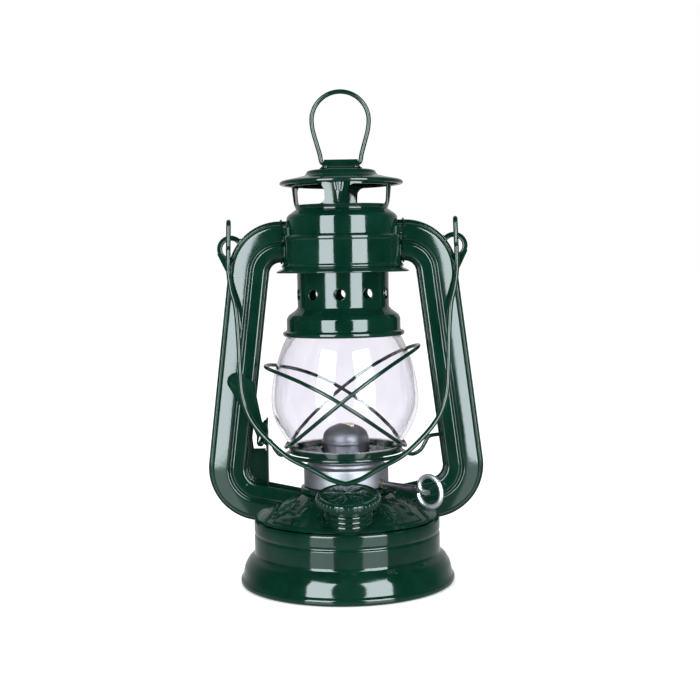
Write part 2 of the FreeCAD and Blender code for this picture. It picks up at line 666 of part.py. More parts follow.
def lift_lever():
    back = Vector(LEVER_PIVOT.x, LEVER_BACK_Y, LEVER_PIVOT.z)
    boss = cylinder(4.6, LEVER_THICK, back, Vector(0, -1, 0))
    strip = lever_plate([(-58.8, 102.0), (-53.0, 91.0), (-47.4, 81.6), (-45.5, 77.0), (-45.5, 70.4),
                         (-41.0, 70.0), (-38.4, 76.0), (-38.7, 83.8), (-42.2, 82.4), (-44.7, 99.8),
                         (-46.7, 104.4), (-51.4, 107.2)])
    lever = boss.fuse(strip)
    hole = cylinder(2.0, 6, Vector(LEVER_PIVOT.x, LEVER_BACK_Y + 1, LEVER_PIVOT.z), Vector(0, -1, 0))
    cuts = [hole]
    for spot in lever_track():
        cuts.append(cylinder(CRADLE_WIRE_R + 0.35, 6, spot + Vector(0, LEVER_BACK_Y + 1, 0), Vector(0, -1, 0)))
    keep("lift_lever", lever.cut(Part.makeCompound(cuts)).removeSplitter())


def lever_fixings():
    rivet = cylinder(1.92, 3.2, Vector(LEVER_PIVOT.x, -5.6, LEVER_PIVOT.z), Vector(0, -1, 0))
    head_y = LEVER_BACK_Y - LEVER_THICK - 0.2
    head = Part.makeCone(3.2, 2.2, 0.9, Vector(LEVER_PIVOT.x, head_y, LEVER_PIVOT.z), Vector(0, -1, 0))
    rivet = fused([rivet, head])
    keep("lever_rivet", rivet.cut(mirrored(tube_filled())))

    plate = box(-49.6, -40.4, 0.8, 1.6, 48.4, 67.4)
    strip = box(-40.4, -39.4, -4.6, 1.6, 46.8, 81.0)
    point = Part.Face(Part.makePolygon([Vector(-40.4, -4.6, 81.0), Vector(-40.4, 1.6, 81.0),
                                        Vector(-40.4, 1.6, 84.4), Vector(-40.4, -4.6, 81.0)]))
    strip = strip.fuse(point.extrude(Vector(1.0, 0, 0)))
    guide = box(-42, -38, -1.4, 1.4, HOOK_Z - 3.4, HOOK_Z + GLOBE_LIFT + 1.4)
    bracket = plate.fuse(strip).cut(guide).cut(mirrored(tube_filled())).cut(outside_of_tank(0.05))
    keep("lever_bracket", max(bracket.removeSplitter().Solids, key=lambda solid: solid.Volume))


# --- chimney ----------------------------------------------------------------------------------------------------
def chimney():
    lip = [(30.2, HOOD_LIP_Z)] + arc_points(29.9, 127.4, 1.0, -50, 60, 4) + [(HOOD_BAND_R, 128.9)]
    shoulder = [(HOOD_BAND_R, HOOD_SHOULDER_Z), (28.2, 136.6), (26.2, 137.8), (24.0, 139.0)]
    profile = lip + shoulder + [(FLUE_R, HOOD_NECK_Z), (FLUE_R, HOOD_TOP)]
    hood = turned_sheet(profile)
    cuts = []
    for i in range(VENT_COUNT):
        angle = math.radians(-94 + 360 / VENT_COUNT * i)
        outward = Vector(math.cos(angle), math.sin(angle), 0)
        cuts.append(cylinder(VENT_R, 12, outward * 18 + Vector(0, 0, VENT_Z), outward))
    keep("globe_hood", hood.cut(Part.makeCompound(cuts)))

    flue = turned([(FLUE_R - SHEET, HOOD_TOP), (FLUE_R, HOOD_TOP), (FLUE_R, CROWN_BASE), (FLUE_R - SHEET, CROWN_BASE)])
    slots = [about_z(box(15, 30, -3, 3, 167, 180), 60 * i + 30) for i in range(6)]
    keep("flue_tube", flue.cut(Part.makeCompound(slots)))

    wall = [(FLUE_R, CROWN_BASE), (FLUE_R + 0.1, 190.3), (CROWN_R - 0.8, 191.4), (CROWN_R, CROWN_TOP)]
    crown = turned_sheet(wall)
    window = box(15, 32, -WINDOW_HALF, WINDOW_HALF, WINDOW_LOW, WINDOW_HIGH)
    edges = [edge for edge in window.Edges if abs(edge.tangentAt(edge.FirstParameter).x) > 0.9]
    window = window.makeFillet(3.0, edges)
    windows = [about_z(window, WINDOW_TURN + 90 * i) for i in range(4)]
    keep("crown", crown.cut(Part.makeCompound(windows)))

    outline = [(CAP_R - 1.4, CAP_EDGE_Z), (CAP_R - 0.4, CAP_EDGE_Z + 0.3), (CAP_R, CAP_EDGE_Z + 1.3),
               (CAP_R - 0.5, CAP_EDGE_Z + 2.3), (27.0, 204.6), (CAP_STEP_R + 0.5, 206.4), (CAP_STEP_R, 208.0),
               (CAP_STEP_R - 0.9, 208.9), (12.0, CAP_TOP - 0.2), (0, CAP_TOP)]
    inside = [(0, CAP_TOP - SHEET), (12.0, CAP_TOP - 1.0), (16.2, 208.0), (16.8, 206.0), (26.6, 203.6),
              (CAP_R - 1.6, CAP_EDGE_Z + 1.6)]
    keep("cap", turned(outline + inside))


def strap():
    """Folded strap on the cap whose rolled edge holds the lift ring."""
    axis = Vector(1, 0, 0)
    start = Vector(-ROLL_HALF, 0, ROLL_Z)
    roll = cylinder(2.0, 2 * ROLL_HALF, start, axis)
    legs = []
    for side in (-1, 1):
        top = 1.5 * side
        low = 6.4 * side
        corners = [Vector(-ROLL_HALF, top, ROLL_Z - 0.6), Vector(ROLL_HALF, top, ROLL_Z - 0.6),
                   Vector(10.8, low, CAP_TOP - 0.1), Vector(-10.8, low, CAP_TOP - 0.1)]
        sheet = Part.Face(Part.makePolygon(corners + [corners[0]]))
        legs.append(sheet.extrude(Vector(0, 0, 0.9)))
        y0, y1 = sorted((low, 10.4 * side))
        legs.append(box(-10.8, 10.8, y0, y1, CAP_TOP - 0.1, CAP_TOP + 0.8))
    whole = fused([roll] + legs)
    bore = cylinder(RING_WIRE_R + 0.08, 40, Vector(-20, 0, ROLL_Z), axis)
    keep("cap_strap", whole.cut(bore))
    rivets = [cylinder(1.5, 1.0, Vector(x, 8.8 * side, CAP_TOP + 0.8)) for x in (-7.6, 7.6) for side in (-1, 1)]
    keep("strap_rivets", Part.makeCompound(rivets))


def lift_ring():
    """Omega-shaped wire ring: its two feet sit in the strap's roll."""
    foot_z = ROLL_Z
    arch_z = RING_TOP - RING_HALF
    arch = []
    for degrees in range(0, 181, 30):
        a = math.radians(degrees)
        arch.append(Vector(RING_HALF * math.cos(a), 0, arch_z + RING_HALF * math.sin(a)))
    right = [Vector(3.4, 0, foot_z), Vector(10.1, 0, foot_z), Vector(11.6, 0, foot_z + 7.4), Vector(13.8, 0, 228.4)]
    left = [Vector(-p.x, 0, p.z) for p in right[::-1]]
    points = right + arch + left
    path = bent_path(points, tight=(1, len(points) - 2))
    keep("lift_ring", wire_along(path, RING_WIRE_R))


# --- bail -------------------------------------------------------------------------------------------------------
def bail():
    """Carrying bail, modelled hanging straight down from its pivot and then leaned forwards."""
    reach = 125.4
    right = [(57.5, 12.0), (57.3, 19.0), (55.8, 28.0), (53.4, 37.0), (52.0, 55.0), (51.2, 70.0),
             (49.7, 84.0), (45.3, 94.6), (37.6, 104.2), (26.6, 113.6), (14.6, 119.8), (7.6, reach - 1.8)]
    right = [(BAIL_X, EYE_DOWN + BAIL_WIRE_R * 0.4)] + right
    points = [Vector(x, 0, -down) for x, down in right] + [Vector(0, 0, -reach - 0.6)]
    points += [Vector(-p.x, 0, p.z) for p in points[-2::-1]]
    strand = wire_along(bent_path(points), BAIL_WIRE_R)
    eye = bail_eye(BAIL_X)
    whole = fused([strand, eye, mirrored(eye)])
    whole.rotate(ORIGIN, Vector(1, 0, 0), -BAIL_LEAN)
    whole.translate(Vector(0, 0, BAIL_PIVOT_Z))
    keep("bail", whole)


def bail_eye(x):
    """Closed long eye around the rim of the ear."""
    rim = EYE_SIDE
    top = EYE_UP - rim
    low = -(EYE_DOWN - rim)
    edges = [
        Part.LineSegment(Vector(x, rim, low), Vector(x, rim, top)).toShape(),
        Part.Arc(Vector(x, rim, top), Vector(x, 0, top + rim), Vector(x, -rim, top)).toShape(),
        Part.LineSegment(Vector(x, -rim, top), Vector(x, -rim, low)).toShape(),
        Part.Arc(Vector(x, -rim, low), Vector(x, 0, low - rim), Vector(x, rim, low)).toShape(),
    ]
    return wire_along(Part.Wire(edges), BAIL_WIRE_R)


def main():
    os.makedirs("parts", exist_ok=True)
    tank()
    dome()
    filler_neck()
    filler_cap()
    tubes()
    filled = tube_filled()
    tube_flanges(filled)
    ears(filled)
    chamber()
    burner()
    wick()
    wick_shaft()
    globe_plate()
    cradle()
    globe()
    guards()
    lift_lever()
    lever_fixings()
    chimney()
    strap()
    lift_ring()
    bail()


main()
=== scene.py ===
"""Looks of a tubular oil lantern: sheet-metal turnings, bent wires, glass and enamel around its CAD frame."""
import bpy
import bmesh
import json
import math
import numpy as np
from mathutils import Matrix, Vector


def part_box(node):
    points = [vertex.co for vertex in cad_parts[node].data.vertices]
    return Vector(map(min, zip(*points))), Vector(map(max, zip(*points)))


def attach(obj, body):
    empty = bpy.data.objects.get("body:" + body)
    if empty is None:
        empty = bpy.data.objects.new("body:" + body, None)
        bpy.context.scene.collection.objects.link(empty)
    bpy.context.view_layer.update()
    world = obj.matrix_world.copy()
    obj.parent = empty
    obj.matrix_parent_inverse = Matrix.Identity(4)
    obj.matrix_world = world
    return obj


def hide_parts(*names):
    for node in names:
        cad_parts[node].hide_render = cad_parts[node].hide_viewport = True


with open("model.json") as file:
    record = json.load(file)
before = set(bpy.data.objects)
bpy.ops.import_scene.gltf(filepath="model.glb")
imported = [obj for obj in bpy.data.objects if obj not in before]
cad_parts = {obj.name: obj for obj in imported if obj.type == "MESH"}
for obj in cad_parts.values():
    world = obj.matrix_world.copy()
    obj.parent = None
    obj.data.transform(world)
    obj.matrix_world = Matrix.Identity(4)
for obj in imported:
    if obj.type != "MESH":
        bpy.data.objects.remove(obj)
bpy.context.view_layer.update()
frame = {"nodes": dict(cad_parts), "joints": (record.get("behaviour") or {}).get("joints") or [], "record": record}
MM = 0.001

BODY_OF = {node: body for body, nodes in frame["record"]["behaviour"]["bodies"].items() for node in nodes}
SLOT_OF = {part["node"]: part["material_slot"] for part in frame["record"]["subparts"]}
JOINT = {joint["name"]: joint for joint in frame["joints"]}

AROUND = 224                # facets round a large turning
SHEET = 0.8                 # mm, sheet metal of the tank, the chamber and the chimney
BURNER_SHEET = 0.7          # mm
SAME_POINT = 1e-6           # m, points closer than this are one
FINE_POINT = 1e-7           # m, the same for small outlines


# --- shapes from numbers ---
def box_mm(node):
    """Lowest and highest corner of a CAD node, in millimetres."""
    low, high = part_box(node)
    return Vector(low) / MM, Vector(high) / MM


def new_piece(name, verts, faces):
    """A mesh object from points in millimetres."""
    mesh = bpy.data.meshes.new(name)
    mesh.from_pydata([(x * MM, y * MM, z * MM) for x, y, z in verts], [], faces)
    mesh.validate()
    piece = bpy.data.objects.new(name, mesh)
    bpy.context.scene.collection.objects.link(piece)
    return piece


def closed_outwards(piece, merge=SAME_POINT):
    """Merge doubles and turn every face outwards."""
    form = bmesh.new()
    form.from_mesh(piece.data)
    bmesh.ops.remove_doubles(form, verts=form.verts, dist=merge)
    bmesh.ops.recalc_face_normals(form, faces=form.faces)
    form.to_mesh(piece.data)
    form.free()
    return piece


def smooth(piece, sharp_degrees=34):
    piece.data.shade_smooth()
    piece.data.set_sharp_from_angle(angle=math.radians(sharp_degrees))
    return piece


def plain(piece):
    """The piece with its modifiers turned into a plain mesh."""
    graph = bpy.context.evaluated_depsgraph_get()
    mesh = bpy.data.meshes.new_from_object(piece.evaluated_get(graph), depsgraph=graph)
    name = piece.name
    bpy.data.objects.remove(piece)
    made = bpy.data.objects.new(name, mesh)
    mesh.name = name
    bpy.context.scene.collection.objects.link(made)
    return made


def joined(name, pieces):
    """Several pieces as one object."""
    form = bmesh.new()
    for piece in pieces:
        form.from_mesh(piece.data)
        bpy.data.objects.remove(piece)
    mesh = bpy.data.meshes.new(name)
    form.to_mesh(mesh)
    form.free()
    made = bpy.data.objects.new(name, mesh)
    bpy.context.scene.collection.objects.link(made)
    return made


def cut_out(piece, cutter):
    """Take the cutter's shape out of the piece."""
    knife = piece.modifiers.new("cut", "BOOLEAN")
    knife.operation = "DIFFERENCE"
    knife.solver = "EXACT"
    knife.object = cutter
    made = plain(piece)
    bpy.data.objects.remove(cutter)
    return made


def rounded(corners, steps=5):
    """A profile of (radius, height, bend) corners with its bends as arcs."""
    points = []
    last = len(corners) - 1
    for i, (r, z, bend) in enumerate(corners):
        here = Vector((r, z))
        if bend <= 0 or i in (0, last):
            points.append(here)
            continue
        back = Vector(corners[i - 1][:2]) - here
        ahead = Vector(corners[i + 1][:2]) - here
        half_turn = (math.pi - back.angle(ahead)) / 2
        reach = min(bend * math.tan(half_turn), 0.49 * min(back.length, ahead.length))
        start = here + back.normalized() * reach
        end = here + ahead.normalized() * reach
        for k in range(steps + 1):
            t = k / steps
            points.append(start.lerp(here, t).lerp(here.lerp(end, t), t))
    return [(p.x, p.y) for p in points]


def arc(across, up, radius, start, end, steps):
    """Points on an arc from one angle to another, in degrees."""
    angles = [math.radians(start + (end - start) * i / steps) for i in range(steps + 1)]
    return [(across + radius * math.cos(a), up + radius * math.sin(a)) for a in angles]


def circle(across, up, radius, count):
    return arc(across, up, radius, 0, 360, count)[:-1]


def beside(points, thickness):
    """The same line moved to the left of its direction by the sheet's thickness."""
    line = np.array(points, dtype=float)
    along = np.gradient(line, axis=0)
    along /= np.maximum(np.linalg.norm(along, axis=1, keepdims=True), 1e-9)
    side = np.stack([-along[:, 1], along[:, 0]], axis=1)
    moved = line + side * thickness
    moved[:, 0] = np.maximum(moved[:, 0], 0.0)
    return [tuple(p) for p in moved]


def skin(rows, columns, ring=False, loop=True):
    """Faces between rows of points; ring joins the last row to the first, loop closes each row."""
    faces = []
    for k in range(rows if ring else rows - 1):
        here, there = k * columns, (k + 1) % rows * columns
        for i in range(columns if loop else columns - 1):
            after = (i + 1) % columns
            faces.append((here + i, there + i, there + after, here + after))
    return faces


def folded_bar(rows, columns):
    """Faces of a bar whose outline goes out and comes back beside itself, with both ends closed."""
    faces = skin(rows, columns)
    for base in (0, (rows - 1) * columns):
        end = base + columns - 1
        faces += [(base + i, base + i + 1, end - 1 - i, end - i) for i in range(columns // 2 - 1)]
    return faces


def prism(name, outline, ends, along="X", merge=SAME_POINT):
    """Solid with the same outline at both of its ends, which stand across X or Y."""
    verts = [(depth, u, v) if along == "X" else (u, depth, v) for depth in ends for u, v in outline]
    count = len(outline)
    faces = [(i, (i + 1) % count, count + (i + 1) % count, count + i) for i in range(count)]
    faces += [tuple(range(count))[::-1], tuple(range(count, 2 * count))]
    return closed_outwards(new_piece(name, verts, faces), merge)


def turning(name, outline, around=AROUND):
    """Solid turned about Z from a closed outline of (radius, height) points in millimetres."""
    verts = []
    for k in range(around):
        angle = 2 * math.pi * k / around
        verts += [(r * math.cos(angle), r * math.sin(angle), z) for r, z in outline]
    faces = skin(around, len(outline), ring=True)
    return smooth(closed_outwards(new_piece(name, verts, faces)))


def turned_sheet(name, profile, thickness=SHEET, around=AROUND):
    """Sheet turned about Z: the profile is its outside, from the foot upwards."""
    return turning(name, list(profile) + beside(profile, thickness)[::-1], around)


def path_through(points, steps=8, closed=False):
    """Dense points on a smooth line through a few of them."""
    knots = [Vector(p) for p in points]
    count = len(knots)
    spans = count if closed else count - 1
    dense = []
    for i in range(spans):
        p1, p2 = knots[i], knots[(i + 1) % count]
        p0 = knots[i - 1] if closed or i else p1 * 2 - p2
        p3 = knots[(i + 2) % count] if closed or i + 2 < count else p2 * 2 - p1
        for k in range(steps):
            t = k / steps
            dense.append(0.5 * ((p1 * 2) + (p2 - p0) * t + (p0 * 2 - p1 * 5 + p2 * 4 - p3) * t * t
                                + (p1 * 3 - p0 - p2 * 3 + p3) * t ** 3))
    return dense if closed else dense + [knots[-1]]


# --- geometry nodes ---
class Tree:
    """A geometry node group with named inputs."""

    def __init__(self, name, inputs):
        self.group = bpy.data.node_groups.new(name, "GeometryNodeTree")
        face = self.group.interface
        face.new_socket("Geometry", in_out="INPUT", socket_type="NodeSocketGeometry")
        for label, kind in inputs.items():
            face.new_socket(label, in_out="INPUT", socket_type=kind)
        face.new_socket("Geometry", in_out="OUTPUT", socket_type="NodeSocketGeometry")
        self.source = self.group.nodes.new("NodeGroupInput").outputs

    def node(self, kind, inputs, settings=(), output=0):
        made = self.group.nodes.new(kind)
        for key, value in dict(settings).items():
            setattr(made, key, value)
        for key, value in inputs.items():
            if isinstance(value, bpy.types.NodeSocket):
                self.group.links.new(value, made.inputs[key])
            else:
                made.inputs[key].default_value = value
        return made.outputs[output]

    def finish(self, geometry):
        real = self.node("GeometryNodeRealizeInstances", {"Geometry": geometry})
        inputs = {"Geometry": real, "Material": self.source["Material"]}
        painted = self.node("GeometryNodeSetMaterial", inputs)
        out = self.group.nodes.new("NodeGroupOutput")
        self.group.links.new(painted, out.inputs["Geometry"])
        return self.group

    @staticmethod
    def identifier(label, group):
        items = group.interface.items_tree
        return next(item.identifier for item in items if item.name == label and item.in_out == "INPUT")


def wire_tree():
    """Round wire along the curve that the tree is given."""
    tree = Tree("wire", {"Radius": "NodeSocketFloat", "Step": "NodeSocketFloat", "Sides": "NodeSocketInt",
                         "Material": "NodeSocketMaterial"})
    line = tree.node("GeometryNodeResampleCurve",
                     {"Curve": tree.source["Geometry"], "Length": tree.source["Step"]}, {"mode": "LENGTH"})
    ring = tree.node("GeometryNodeCurvePrimitiveCircle", {"Resolution": tree.source["Sides"],
                                                          "Radius": tree.source["Radius"]})
    body = tree.node("GeometryNodeCurveToMesh", {"Curve": line, "Profile Curve": ring, "Fill Caps": True})
    return tree.finish(tree.node("GeometryNodeSetShadeSmooth", {"Geometry": body}))


def round_tree():
    """Copies of the given piece, evenly turned about Z."""
    tree = Tree("round", {"Count": "NodeSocketInt", "Start": "NodeSocketFloat",
                          "Material": "NodeSocketMaterial"})
    spots = tree.node("GeometryNodePoints", {"Count": tree.source["Count"]})
    index = tree.node("GeometryNodeInputIndex", {})
    share = tree.node("ShaderNodeMath", {0: index, 1: tree.source["Count"]}, {"operation": "DIVIDE"})
    angle = tree.node("ShaderNodeMath", {0: share, 1: 2 * math.pi}, {"operation": "MULTIPLY"})
    turn = tree.node("ShaderNodeMath", {0: angle, 1: tree.source["Start"]}, {"operation": "ADD"})
    spin = tree.node("ShaderNodeCombineXYZ", {"Z": turn})
    copies = tree.node("GeometryNodeInstanceOnPoints", {"Points": spots, "Instance": tree.source["Geometry"],
                                                        "Rotation": spin})
    return tree.finish(copies)


def grown(piece, group, **inputs):
    """The plain mesh that a node group makes of a piece."""
    growth = piece.modifiers.new("growth", "NODES")
    growth.node_group = group
    for label, value in inputs.items():
        growth[Tree.identifier(label, group)] = value
    return plain(piece)


def line_object(name, points, closed=False):
    curve = bpy.data.curves.new(name, "CURVE")
    curve.dimensions = "3D"
    spline = curve.splines.new("POLY")
    spline.points.add(len(points) - 1)
    for spot, p in zip(spline.points, points):
        spot.co = (p[0] * MM, p[1] * MM, p[2] * MM, 1)
    spline.use_cyclic_u = closed
    line = bpy.data.objects.new(name, curve)
    bpy.context.scene.collection.objects.link(line)
    return line


def bent_wire(name, points, radius, material, closed=False, step=0.7, sides=32):
    """Round wire along dense points in millimetres."""
    line = line_object(name, points, closed)
    wire = grown(line, WIRE, Radius=radius * MM, Step=step * MM, Sides=sides, Material=material)
    return smooth(wire, sharp_degrees=80)


# --- shader recipes ---
class Field:
    """A shader value that can be used in sums."""

    def __init__(self, recipe, socket):
        self.recipe = recipe
        self.socket = socket

    def _sum(self, operation, first, second):
        return self.recipe.node("ShaderNodeMath", {0: first, 1: second}, {"operation": operation})

    def __add__(self, other):
        return self._sum("ADD", self, other)

    def __radd__(self, other):
        return self._sum("ADD", other, self)

    def __sub__(self, other):
        return self._sum("SUBTRACT", self, other)

    def __rsub__(self, other):
        return self._sum("SUBTRACT", other, self)

    def __mul__(self, other):
        return self._sum("MULTIPLY", self, other)

    def __rmul__(self, other):
        return self._sum("MULTIPLY", other, self)


class Shader:
    """An empty node tree and the one way in which its nodes are made."""

    def __init__(self, owner):
        owner.use_nodes = True
        self.nodes = owner.node_tree.nodes
        self.links = owner.node_tree.links
        self.nodes.clear()

    def node(self, kind, inputs, settings=(), output=0):
        made = self.nodes.new(kind)
        for key, value in dict(settings).items():
            setattr(made, key, value)
        for key, value in inputs.items():
            if isinstance(value, Field):
                self.links.new(value.socket, made.inputs[key])
            else:
                made.inputs[key].default_value = value
        return Field(self, made.outputs[output]) if len(made.outputs) else made


class Recipe(Shader):
    """One procedural material."""

    def __init__(self, name, **constants):
        self.material = bpy.data.materials.new(name)
        super().__init__(self.material)
        self.surface = self.nodes.new("ShaderNodeBsdfPrincipled")
        out = self.nodes.new("ShaderNodeOutputMaterial")
        self.links.new(self.surface.outputs["BSDF"], out.inputs["Surface"])
        for label, value in constants.items():
            self.surface.inputs[label.replace("_", " ")].default_value = value
        self.place = self.node("ShaderNodeTexCoord", {}, output="Object")

    def feed(self, **fields):
        for label, field in fields.items():
            self.links.new(field.socket, self.surface.inputs[label.replace("_", " ")])
        return self.material

    def noise(self, size_mm, detail=2.0, rough=0.5, place=None):
        """Soft noise whose blotches are about size_mm across."""
        inputs = {"Vector": place or self.place, "Scale": 1 / (size_mm * MM), "Detail": detail,
                  "Roughness": rough}
        return self.node("ShaderNodeTexNoise", inputs, {"noise_dimensions": "3D"})

    def stretched(self, x, y, z):
        """Object coordinates stretched along the axes."""
        return self.node("ShaderNodeVectorMath", {0: self.place, 1: (x, y, z)}, {"operation": "MULTIPLY"})

    def between(self, field, low, high):
        """A value brought from low and high to 0 and 1, without overshoot."""
        inputs = {"Value": field, "From Min": low, "From Max": high}
        return self.node("ShaderNodeMapRange", inputs, {"clamp": True})

    def blend(self, factor, first, second):
        """Mix of two colours."""
        return self.node("ShaderNodeMix", {0: factor, 6: first, 7: second}, {"data_type": "RGBA"}, output=2)

    def bump(self, height, depth_mm):
        return self.node("ShaderNodeBump", {"Height": height, "Distance": depth_mm * MM, "Strength": 1.0})

    def height(self):
        return self.node("ShaderNodeSeparateXYZ", {"Vector": self.place}, output="Z")

    def edges(self):
        """1 on outward edges of a shape, 0 on its faces."""
        point = self.node("ShaderNodeNewGeometry", {}, output="Pointiness")
        return self.between(point, 0.515, 0.56)


DEEP_GREEN = (0.0016, 0.0215, 0.0125, 1)
LIGHT_GREEN = (0.0034, 0.0340, 0.0205, 1)
THIN_GREEN = (0.020, 0.085, 0.062, 1)
BARE_EDGE = (0.30, 0.34, 0.31, 1)
SCUFFED_METAL = (0.82, 0.82, 0.84, 1)


def paint_enamel(name, peel_mm=2.4, peel_depth=0.010, chips=0.0):
    """Deep green stove enamel: glossy and a little uneven; with chips, thin and chipped along the edges."""
    recipe = Recipe(name, Specular_IOR_Level=0.24)
    cloud = recipe.noise(16, 3)
    pool = recipe.noise(5, 2)
    colour = recipe.blend(recipe.between(cloud * 0.7 + pool * 0.3, 0.36, 0.64), DEEP_GREEN, LIGHT_GREEN)
    rough = 0.055 + recipe.between(cloud, 0.35, 0.7) * 0.04 + pool * 0.03
    peel = recipe.noise(peel_mm, 1) * 0.7 + recipe.noise(peel_mm * 4.0, 1) * 1.8
    if chips:
        thin = recipe.edges() * recipe.between(recipe.noise(4.5, 2), 0.36, 0.66)
        colour = recipe.blend(thin * 0.5, colour, THIN_GREEN)
        flake = recipe.edges() * recipe.between(recipe.noise(1.6, 3, 0.6), 0.62, 0.66) * chips
        colour = recipe.blend(flake, colour, BARE_EDGE)
        rough = rough + flake * 0.35
        peel = peel - flake * 2.0
    return recipe.feed(Base_Color=colour, Roughness=rough, Normal=recipe.bump(peel, peel_depth))


def paint_bare_metal(name, tone, rough, streak=(1, 1, 26), tint=0.25):
    """Bare sheet with fine turning lines, light scuffs and a dull bloom."""
    recipe = Recipe(name, Metallic=1.0, Specular_IOR_Level=0.5)
    lines = recipe.noise(9, 5, 0.7, recipe.stretched(*streak))
    bloom = recipe.noise(7, 3)
    dark = tuple(c * 0.62 for c in tone) + (1,)
    colour = recipe.blend(recipe.between(bloom * 0.6 + lines * 0.4, 0.36, 0.64), dark, tone + (1,))
    scuff = recipe.between(recipe.noise(1.4, 5, 0.7), 0.60, 0.74)
    colour = recipe.blend(scuff * tint, colour, SCUFFED_METAL)
    roughness = rough + lines * 0.14 + bloom * 0.10 - 0.12 + scuff * 0.08
    return recipe.feed(Base_Color=colour, Roughness=roughness, Normal=recipe.bump(lines + scuff * 0.4, 0.03))


def paint_glass():
    """Clear moulded glass with faint waves and a little dust."""
    recipe = Recipe("clear_glass", Transmission_Weight=1.0, IOR=1.46, Specular_IOR_Level=0.12,
                    Specular_Tint=(0.5, 0.5, 0.5, 1))
    wave = recipe.noise(16, 2) + recipe.noise(3.2, 1) * 0.12
    film = recipe.between(recipe.noise(5, 5, 0.6), 0.55, 0.85)
    cloud = recipe.between(recipe.noise(22, 2), 0.35, 0.65)
    colour = recipe.blend(cloud, (0.835, 0.820, 0.870, 1), (0.860, 0.848, 0.885, 1))
    return recipe.feed(Base_Color=colour, Roughness=0.004 + film * 0.02, Normal=recipe.bump(wave, 0.05))


def paint_cotton():
    """Flat woven wick: cream yarn, scorched at its trimmed end."""
    recipe = Recipe("wick_cotton", Specular_IOR_Level=0.15, Sheen_Weight=0.3)
    top = box_mm("wick")[1].z
    yarns = []
    for way, scale, bend in (("Z", 320.0, 1.5), ("DIAGONAL", 300.0, 1.0)):
        inputs = {"Vector": recipe.place, "Scale": scale, "Distortion": bend, "Detail": 2.0}
        yarns.append(recipe.node("ShaderNodeTexWave", inputs, {"bands_direction": way}, output="Fac"))
    weave = yarns[0] * yarns[1]
    edge = recipe.height() + (recipe.noise(2.0, 3) - 0.5) * 0.002
    burnt = recipe.between(edge, (top - 1.6) * MM, top * MM)
    colour = recipe.blend(recipe.between(weave, 0.1, 0.7), (0.52, 0.44, 0.33, 1), (0.86, 0.79, 0.66, 1))
    colour = recipe.blend(burnt * 0.5, colour, (0.34, 0.19, 0.10, 1))
    return recipe.feed(Base_Color=colour, Roughness=0.85 + weave * 0.1, Normal=recipe.bump(weave, 0.25))


def paint_rubber():
    recipe = Recipe("seal_rubber", Specular_IOR_Level=0.35)
    grain = recipe.noise(0.6, 4, 0.6)
    cloud = recipe.between(recipe.noise(3, 3), 0.4, 0.6)
    colour = recipe.blend(cloud, (0.012, 0.012, 0.012, 1), (0.03, 0.03, 0.029, 1))
    return recipe.feed(Base_Color=colour, Roughness=0.55 + grain * 0.2, Normal=recipe.bump(grain, 0.03))


# --- tank ---
def tank_side():
    """Drum, skirt and rolled foot of the tank."""
    high = box_mm("tank_shell")[1]
    foot = high.x
    drum = 47.4
    crease = 26.0
    corners = [
        (foot - 3.4, 0.05, 0), (foot - 1.5, 0.05, 1.0), (foot - 0.1, 0.9, 1.4), (foot - 0.1, 3.0, 1.4),
        (foot - 1.2, 4.3, 0.8), (foot - 1.5, 5.6, 1.5), (foot - 2.2, 9.6, 8.0), (foot - 4.5, 13.4, 5.0),
        (drum + 0.1, 15.4, 1.6), (drum, 16.6, 1.2), (drum, crease - 1.3, 0.6),
        (drum - 0.75, crease - 0.2, 0.7), (drum - 0.1, crease + 1.0, 0.7), (drum, crease + 1.8, 0.5),
        (drum, high.z - 0.8, 1.6), (drum - 0.9, high.z, 0),
    ]
    return turned_sheet("tank_side", rounded(corners), around=256)


def leaf_relief(radius, angle, count=8):
    """Height in millimetres of the pressed leaves, and of the curls and buds between them."""
    height = np.zeros_like(radius)
    sector = 2 * math.pi / count
    local = (angle + sector / 2) % sector - sector / 2
    along = radius * np.cos(local) - 28.0
    aside = radius * np.sin(local)
    share = np.clip(along / 15.5, 0, 1)
    half_width = 6.2 * np.sin(math.pi * share ** 0.8) ** 0.75 * (1 + 0.16 * np.cos(along * 2.3)) + 1e-3
    inside = np.clip(1 - np.abs(aside) / half_width, 0, 1)
    blade = np.clip(inside * 2.6, 0, 1) * (0.75 + 0.25 * np.cos((np.abs(aside) * 1.1 - along * 0.75) * 2.4))
    rib = np.exp(-(aside / 0.45) ** 2) * (share > 0) * (share < 1)
    height += np.where((share > 0) & (share < 1), 0.62 * blade - 0.30 * rib * inside, 0)

    halfway = (angle % sector) - sector / 2
    x = radius * np.cos(halfway) - 28.8
    y = radius * np.sin(halfway)
    for side in (-1, 1):
        dx, dy = x, y - side * 2.7
        away = np.hypot(dx, dy)
        swirl = np.cos(np.arctan2(dy * side, dx) - away * 2.2)
        height += 0.75 * np.exp(-((away - 1.7) / 0.62) ** 2) * (0.7 + 0.3 * swirl)
        height += 0.5 * np.exp(-(away / 0.6) ** 2)
    bud = np.hypot((x - 5.6) / 1.9, y / 1.0)
    height += 0.65 * np.exp(-bud ** 2)
    height += 0.5 * np.exp(-(np.hypot((x - 10.2) / 1.2, y / 2.4)) ** 2)
    fade = np.clip((radius - 24.0) / 1.2, 0, 1) * np.clip((45.6 - radius) / 1.2, 0, 1)
    return height * fade


